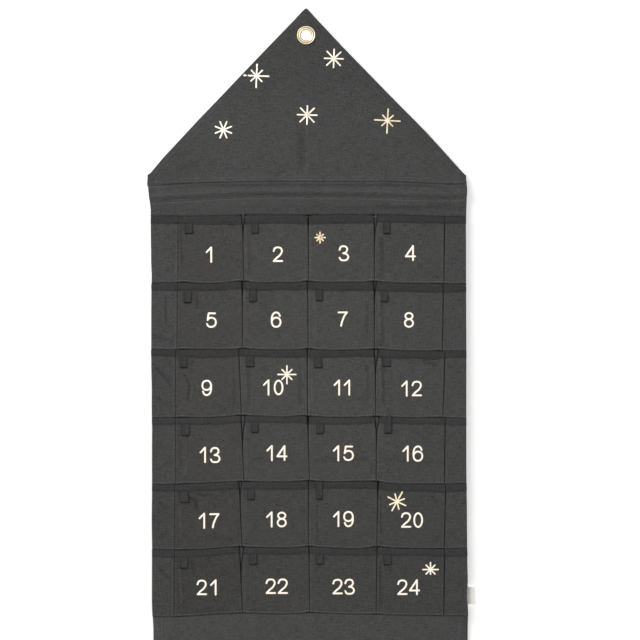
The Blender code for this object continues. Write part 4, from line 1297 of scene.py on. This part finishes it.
pocketStars = {
    "03": (armsOf((320.1, 237.7), (5.1, 4.4, 5.3, 4.4, 5.1, 4.4, 5.3, 4.4)), dullFoil),
    "10": (armsOf((287.0, 374.4), (8.9, 6.9, 8.5, 6.9, 8.9, 6.9, 9.2, 6.9)), foil),
    "20": (((396.9, 501.3), [rayTo(a, r) for a, r in (
        (61, 10.8), (241, 10.3), (153, 9.9), (-25, 9.4), (21, 7.8), (203, 7.8), (104.5, 7.8), (-76, 7.8))]), warmFoil),
    "24": (armsOf((430.4, 569.2), (7.6, 6.2, 6.9, 6.2, 7.6, 6.2, 4.6, 6.2)), foil),
}
for number, ((centre, strokes), material) in pocketStars.items():
    surface = pockets[number].faceDepth
    film = foilFilm(f"pocketStar_{number}", centre, strokes, foilShape["starStroke"], surface, material)
    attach(film, f"pocket_{number}")
print("foil made")

# the stitches, by one tree of nodes


def stitchTree():
    tree = nodeGroup("seamStitches", "GeometryNodeTree", {
        "INPUT": [("Geometry", "Geometry"), ("Stitch Length", "Float", 0.0022, 0.0002, 0.02),
                  ("Stitch Gap", "Float", 0.0010, 0.0, 0.02), ("Thread Radius", "Float", 0.0002, 0.00005, 0.002),
                  ("Unevenness", "Float", 0.08, 0.0, 1.0), ("Thread", "Material")],
        "OUTPUT": [("Geometry", "Geometry")],
    })
    given = node(tree, "NodeGroupInput", (-900, 0)).outputs
    path = node(tree, "GeometryNodeMeshToCurve", (-700, 100), {"Mesh": given["Geometry"]})
    pitch = mathNode(tree, "ADD", (-700, -80), given["Stitch Length"], given["Stitch Gap"])
    spots = node(tree, "GeometryNodeCurveToPoints", (-500, 100), mode="LENGTH")
    tree.links.new(path.outputs["Curve"], spots.inputs["Curve"])
    tree.links.new(pitch, spots.inputs["Length"])
    wander = node(tree, "FunctionNodeRandomValue", (-500, -200), {"Min": (-1, -1, -1), "Max": (1, 1, 1), "Seed": 5},
                  data_type="FLOAT_VECTOR")
    small = node(tree, "ShaderNodeVectorMath", (-300, -200), {
        0: wander.outputs["Value"], "Scale": given["Unevenness"]}, operation="SCALE")
    lean = node(tree, "ShaderNodeVectorMath", (-120, -160), {0: spots.outputs["Tangent"], 1: small.outputs[0]},
                operation="ADD")
    turn = node(tree, "FunctionNodeAlignRotationToVector", (60, -160), {"Vector": lean.outputs[0]}, axis="Z")
    bead = node(tree, "GeometryNodeMeshUVSphere", (-300, 320), {"Segments": 6, "Rings": 4, "Radius": 1.0})
    halfLength = mathNode(tree, "MULTIPLY", (-300, -420), given["Stitch Length"], 0.55)
    size = node(tree, "ShaderNodeCombineXYZ", (-120, -420), {
        0: given["Thread Radius"], 1: given["Thread Radius"], 2: halfLength})
    sown = node(tree, "GeometryNodeInstanceOnPoints", (260, 100), {
        "Points": spots.outputs["Points"], "Instance": bead.outputs["Mesh"], "Rotation": turn.outputs["Rotation"],
        "Scale": size.outputs[0]})
    real = node(tree, "GeometryNodeRealizeInstances", (440, 100), {"Geometry": sown.outputs["Instances"]})
    paint = node(tree, "GeometryNodeSetMaterial", (620, 100), {
        "Geometry": real.outputs["Geometry"], "Material": given["Thread"]})
    node(tree, "NodeGroupOutput", (900, 0), {"Geometry": paint.outputs["Geometry"]})
    return tree


seamStitches = stitchTree()


threads = {  # stitch, gap and radius in mm, and the thread
    "light": (2.0, 1.5, 0.19, threadCloth), "faint": (2.0, 1.5, 0.13, threadCloth),
    "sleeve": (2.0, 1.7, 0.33, threadCloth), "column": (1.5, 2.0, 0.15, threadCloth),
    "foot": (1.9, 1.5, 0.25, threadCloth), "tack": (1.9, 1.5, 0.38, threadCloth),
    "tape": (1.6, 1.2, 0.28, darkThread),
}


def stitchesAlong(name, paths, kind):
    stitch, gap, thread, material = threads[kind]
    mesh = bpy.data.meshes.new(name + "Path")
    points, edges = [], []
    for path in paths:
        edges += [(len(points) + k, len(points) + k + 1) for k in range(len(path) - 1)]
        points += [(x * mm, -d * mm, z * mm) for x, d, z in np.asarray(path, float)]
    mesh.from_pydata(points, edges, [])
    obj = placed(name, mesh)
    modifier = obj.modifiers.new("seamStitches", "NODES")
    modifier.node_group = seamStitches
    wanted = {"Stitch Length": stitch * mm, "Stitch Gap": gap * mm, "Thread Radius": thread * mm, "Unevenness": 0.08,
              "Thread": material}
    for item in seamStitches.interface.items_tree:
        if item.item_type == "SOCKET" and item.in_out == "INPUT" and item.name in wanted:
            modifier[item.identifier] = wanted[item.name]
    view = bpy.context.evaluated_depsgraph_get()
    made = bpy.data.meshes.new_from_object(obj.evaluated_get(view))
    obj.modifiers.clear()
    obj.data = made
    made.polygons.foreach_set("use_smooth", np.ones(len(made.polygons), bool))
    return obj


def pathOn(surface, pxs, pys, lift):
    x, z = acrossOf(pxs), heightOf(pys)
    return np.stack([x, surface(x, z) + lift, z], -1)


lift = 0.06  # from the cloth out to a thread's middle
pxs = np.linspace(150.5, 463.5, 220)
footStitch = smoothLine([148, 183, 160, 182, 185, 181.4, 230, 180.4, 345, 179.6, 390, 180, 440, 181.6,
                         468, 181.5])
lightPaths = [pathOn(gableDepth, pxs, footStitch(pxs), lift)]
faintPaths = [pathOn(gableDepth, pxs[20:-20], footStitch(pxs[20:-20]) - 2.7, lift - 0.05)]
hem = gableShape["hemIn"] / 0.69 / photo["pixel"]
for start, stop in ((163, 289), (322, 450)):
    px = np.linspace(start, stop, 120)
    roof = pixelDown(roofHeight(acrossOf(px)))
    faintPaths.append(pathOn(gableDepth, px, roof + hem, lift))
for px, low, high in ((158.9, 188.5, 213.5), (457.3, 188, 214)):
    rows = np.linspace(low, high, 40)
    faintPaths.append(pathOn(headerDepth, px + 0 * rows, rows, lift))


def footerDepthAt(x, z):
    nearest = np.hypot(fx[None] - x[:, None, None], fz[None] - z[:, None, None]).reshape(len(x), -1).argmin(1)
    return fd.reshape(-1)[nearest]


for px in (161.5, 459.0):
    rows = np.linspace(618, 653, 40)
    lightPaths.append(pathOn(footerDepthAt, px + 0 * rows, rows, lift))
px = np.linspace(154, 464, 200)
lightPaths.append(pathOn(footerDepthAt, px, 0 * px + 648.0, lift))
lightPaths += [pathOn(gableDepth, np.array(a), np.array(b), 0.2) for a, b in (
    ((240.8, 243.2, 245.6), (178.0, 180.4, 181.0)), ((341.0, 343.5, 345.2), (179.0, 179.4, 177.9)),
    ((301.5, 302.4, 302.0), (180.6, 181.6, 183.0)))]  # thread ends
sleevePath = pathOn(headerDepth, pxs, stitchLine(pxs), lift)
sleeveSeam = stitchesAlong("sleeveSeam", [sleevePath], "sleeve")
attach(sleeveSeam, "wall_hanging")
lightSeams = stitchesAlong("lightSeams", lightPaths, "light")
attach(lightSeams, "wall_hanging")
faintSeams = stitchesAlong("faintSeams", faintPaths, "faint")
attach(faintSeams, "wall_hanging")

backPaths = []
for side, shift in ((0, 11.0), (1, -11.0)):
    z = np.linspace(-866.0, -262.0, 160)
    backPaths.append(np.stack([bodyAcross(z, side, 0.5) + shift, 0 * z + 0.1, z], -1))
x = np.linspace(float(bodyAcross(-868.0, 0, 3.0)), float(bodyAcross(-868.0, 1, 3.0)), 120)
backPaths.append(np.stack([x, 0 * x + 0.1, 0 * x - 868.0], -1))
backSeams = stitchesAlong("backSeams", backPaths, "light")
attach(backSeams, "wall_hanging")

columnPaths = []
for row in range(6):
    t = np.linspace(0.03, 0.84, 40)
    x = divisionAt(row, 0, t) - 1.9 * photo["pixel"]
    top, bottom = rowTop(row, x), rowBottom(row, x)
    z = bottom + (top - bottom) * t
    columnPaths.append(np.stack([x, marginFace(row, "Left", marginSeed(row, "Left"))(x, z) + lift - 0.06, z], -1))
columnSeams = stitchesAlong("columnSeams", columnPaths, "column")
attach(columnSeams, "wall_hanging")

marginPaths, marginFeet = [], []
for key, (grid, front) in tapePaths.items():
    cloth = pockets.get(key) or margins[key]
    x = np.linspace(float(cloth.edges[0](0.0)) + 2.0, float(cloth.edges[1](0.0)) - 2.0, 40)
    z = rowBottom(cloth.row, x) + rowShape["ridge"]
    foot = np.stack([x, cloth.faceDepth(x, z) + lift, z], -1)
    if key in pockets:
        seam = stitchesAlong(f"footStitch_{key}", [foot], "foot")
        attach(seam, f"pocket_{key}")
        tacks = [foot[:5], foot[-5:]] if cloth.row < 5 else [foot[:3], foot[-3:]]
        tack = stitchesAlong(f"cornerTack_{key}", tacks, "tack")
        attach(tack, f"pocket_{key}")
    else:
        marginFeet.append(foot)
    line = (0.45 * grid[1] + 0.55 * grid[2])[front]
    line = line + facing(grid)[1][front] * 0.04
    if key in pockets:
        seam = stitchesAlong(f"tapeStitch_{key}", [line], "tape")
        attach(seam, f"pocket_{key}")
    else:
        marginPaths.append(line)
marginSeams = stitchesAlong("marginTapeStitch", marginPaths, "tape")
marginFoot = stitchesAlong("marginFootStitch", marginFeet, "foot")
for obj in (marginSeams, marginFoot):
    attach(obj, "wall_hanging")
print("stitches made")
# the studio: a white wall and a pale floor

studio = {"wallY": 0.004, "floorZ": -1.55, "fill": 0.50, "key": 60.0, "keySize": 1.9, "back": 26.0,
          "backSize": 0.4, "wall": 0.42, "hole": 0.0095, "lens": 100, "sensor": 36}


def whiteSeen(tree, place):
    # 1 where the camera, a reflection or a clear piece looks at the studio, 0 where it only lights the object
    ray = node(tree, "ShaderNodeLightPath", place)
    first = mathNode(tree, "MAXIMUM", (place[0] + 200, place[1]), ray.outputs["Is Camera Ray"],
                     ray.outputs["Is Glossy Ray"])
    return mathNode(tree, "MAXIMUM", (place[0] + 380, place[1]), first, ray.outputs["Is Transmission Ray"])


def paperMaterial(name, shown, letsLightBy):
    material, tree = newMaterial(name)
    shadow = node(tree, "ShaderNodeLightPath", (-800, -500)).outputs["Is Shadow Ray"]
    lampSide = mathNode(tree, "MULTIPLY", (-600, -500), shadow, letsLightBy)
    rear = node(tree, "ShaderNodeNewGeometry", (-600, -300)).outputs["Backfacing"]
    letThrough = mathNode(tree, "MAXIMUM", (-400, -400), rear, lampSide)
    spot = node(tree, "ShaderNodeTexCoord", (-1200, -140)).outputs["Object"]
    reach = node(tree, "ShaderNodeVectorMath", (-1000, -140), {0: spot}, operation="LENGTH")
    # painted light: the paper seen through the eyelet glows brighter, against the eyelet's shade
    behind = mathNode(tree, "LESS_THAN", (-800, -140), reach.outputs["Value"], studio["hole"])
    paper = node(tree, "ShaderNodeBsdfDiffuse", (-400, 0), {"Color": (0.80, 0.80, 0.795, 1)}).outputs[0]
    lit = node(tree, "ShaderNodeEmission", (-400, -140), {
        "Color": (1, 1, 0.997, 1), "Strength": mathNode(tree, "MULTIPLY_ADD", (-600, -140), behind, 0.8, shown)})
    both = node(tree, "ShaderNodeAddShader", (-200, -60), {0: paper, 1: lit.outputs[0]})
    clear = node(tree, "ShaderNodeBsdfTransparent", (-200, -240))
    seen = node(tree, "ShaderNodeMixShader", (0, 60), {0: whiteSeen(tree, (-800, 300)), 1: paper, 2: both.outputs[0]})
    through = node(tree, "ShaderNodeMixShader", (200, 0), {0: letThrough, 1: seen.outputs[0], 2: clear.outputs[0]})
    node(tree, "ShaderNodeOutputMaterial", (400, 0), {"Surface": through.outputs[0]})
    return material


def backdrop(name, corners, material):
    mesh = bpy.data.meshes.new(name)
    mesh.from_pydata(corners, [], [(0, 1, 2, 3)])
    mesh.materials.append(material)
    obj = placed(name, mesh)


y, floorZ = studio["wallY"], studio["floorZ"]
backdrop("studioWall", [(-3, y, floorZ), (3, y, floorZ), (3, y, 2), (-3, y, 2)],
         paperMaterial("whitePaper", studio["wall"], 1.0))
backdrop("studioFloor", [(-4, -5, floorZ), (4, -5, floorZ), (4, 5, floorZ), (-4, 5, floorZ)],
         paperMaterial("paleFloor", studio["wall"], 0.0))

world = bpy.data.worlds.new("softStudio")
bpy.context.scene.world = world
world.use_nodes = True
sky = world.node_tree
sky.nodes.clear()
strength = mathNode(sky, "MULTIPLY_ADD", (-160, 0), whiteSeen(sky, (-700, 0)), 1.0 - studio["fill"], studio["fill"])
glow = node(sky, "ShaderNodeBackground", (0, 0), {"Color": (1, 1, 1, 1), "Strength": strength})
node(sky, "ShaderNodeOutputWorld", (240, 0), {"Surface": glow.outputs[0]})


def lamp(name, place, aim, size, power):
    light = bpy.data.lights.new(name, "AREA")
    light.shape = "SQUARE"
    light.size = size
    light.energy = power
    obj = placed(name, light)
    obj.location = place
    obj.rotation_euler = (Vector(aim) - Vector(place)).to_track_quat("-Z", "Y").to_euler()


lamp("keyLamp", (-1.70, -2.30, 1.25), (0, 0, -0.30), studio["keySize"], studio["key"])
lamp("backLamp", (0, 1.40, -0.42), (0, 0, -0.42), studio["backSize"], studio["back"])

scene = bpy.context.scene
scene.view_settings.view_transform = "Standard"
camera = bpy.data.cameras.new("photoCamera")
camera.sensor_width, camera.lens = studio["sensor"], studio["lens"]
eye = placed("photoCamera", camera)
distance = camera.lens / camera.sensor_width * photo["frameMm"] * mm
eye.location = (float(acrossOf(photo["centre"])) * mm, -0.008 - distance, float(heightOf(photo["centre"])) * mm)
eye.rotation_euler = (math.pi / 2, 0, 0)
camera.clip_start, camera.clip_end = 0.01, 50
scene.camera = eye
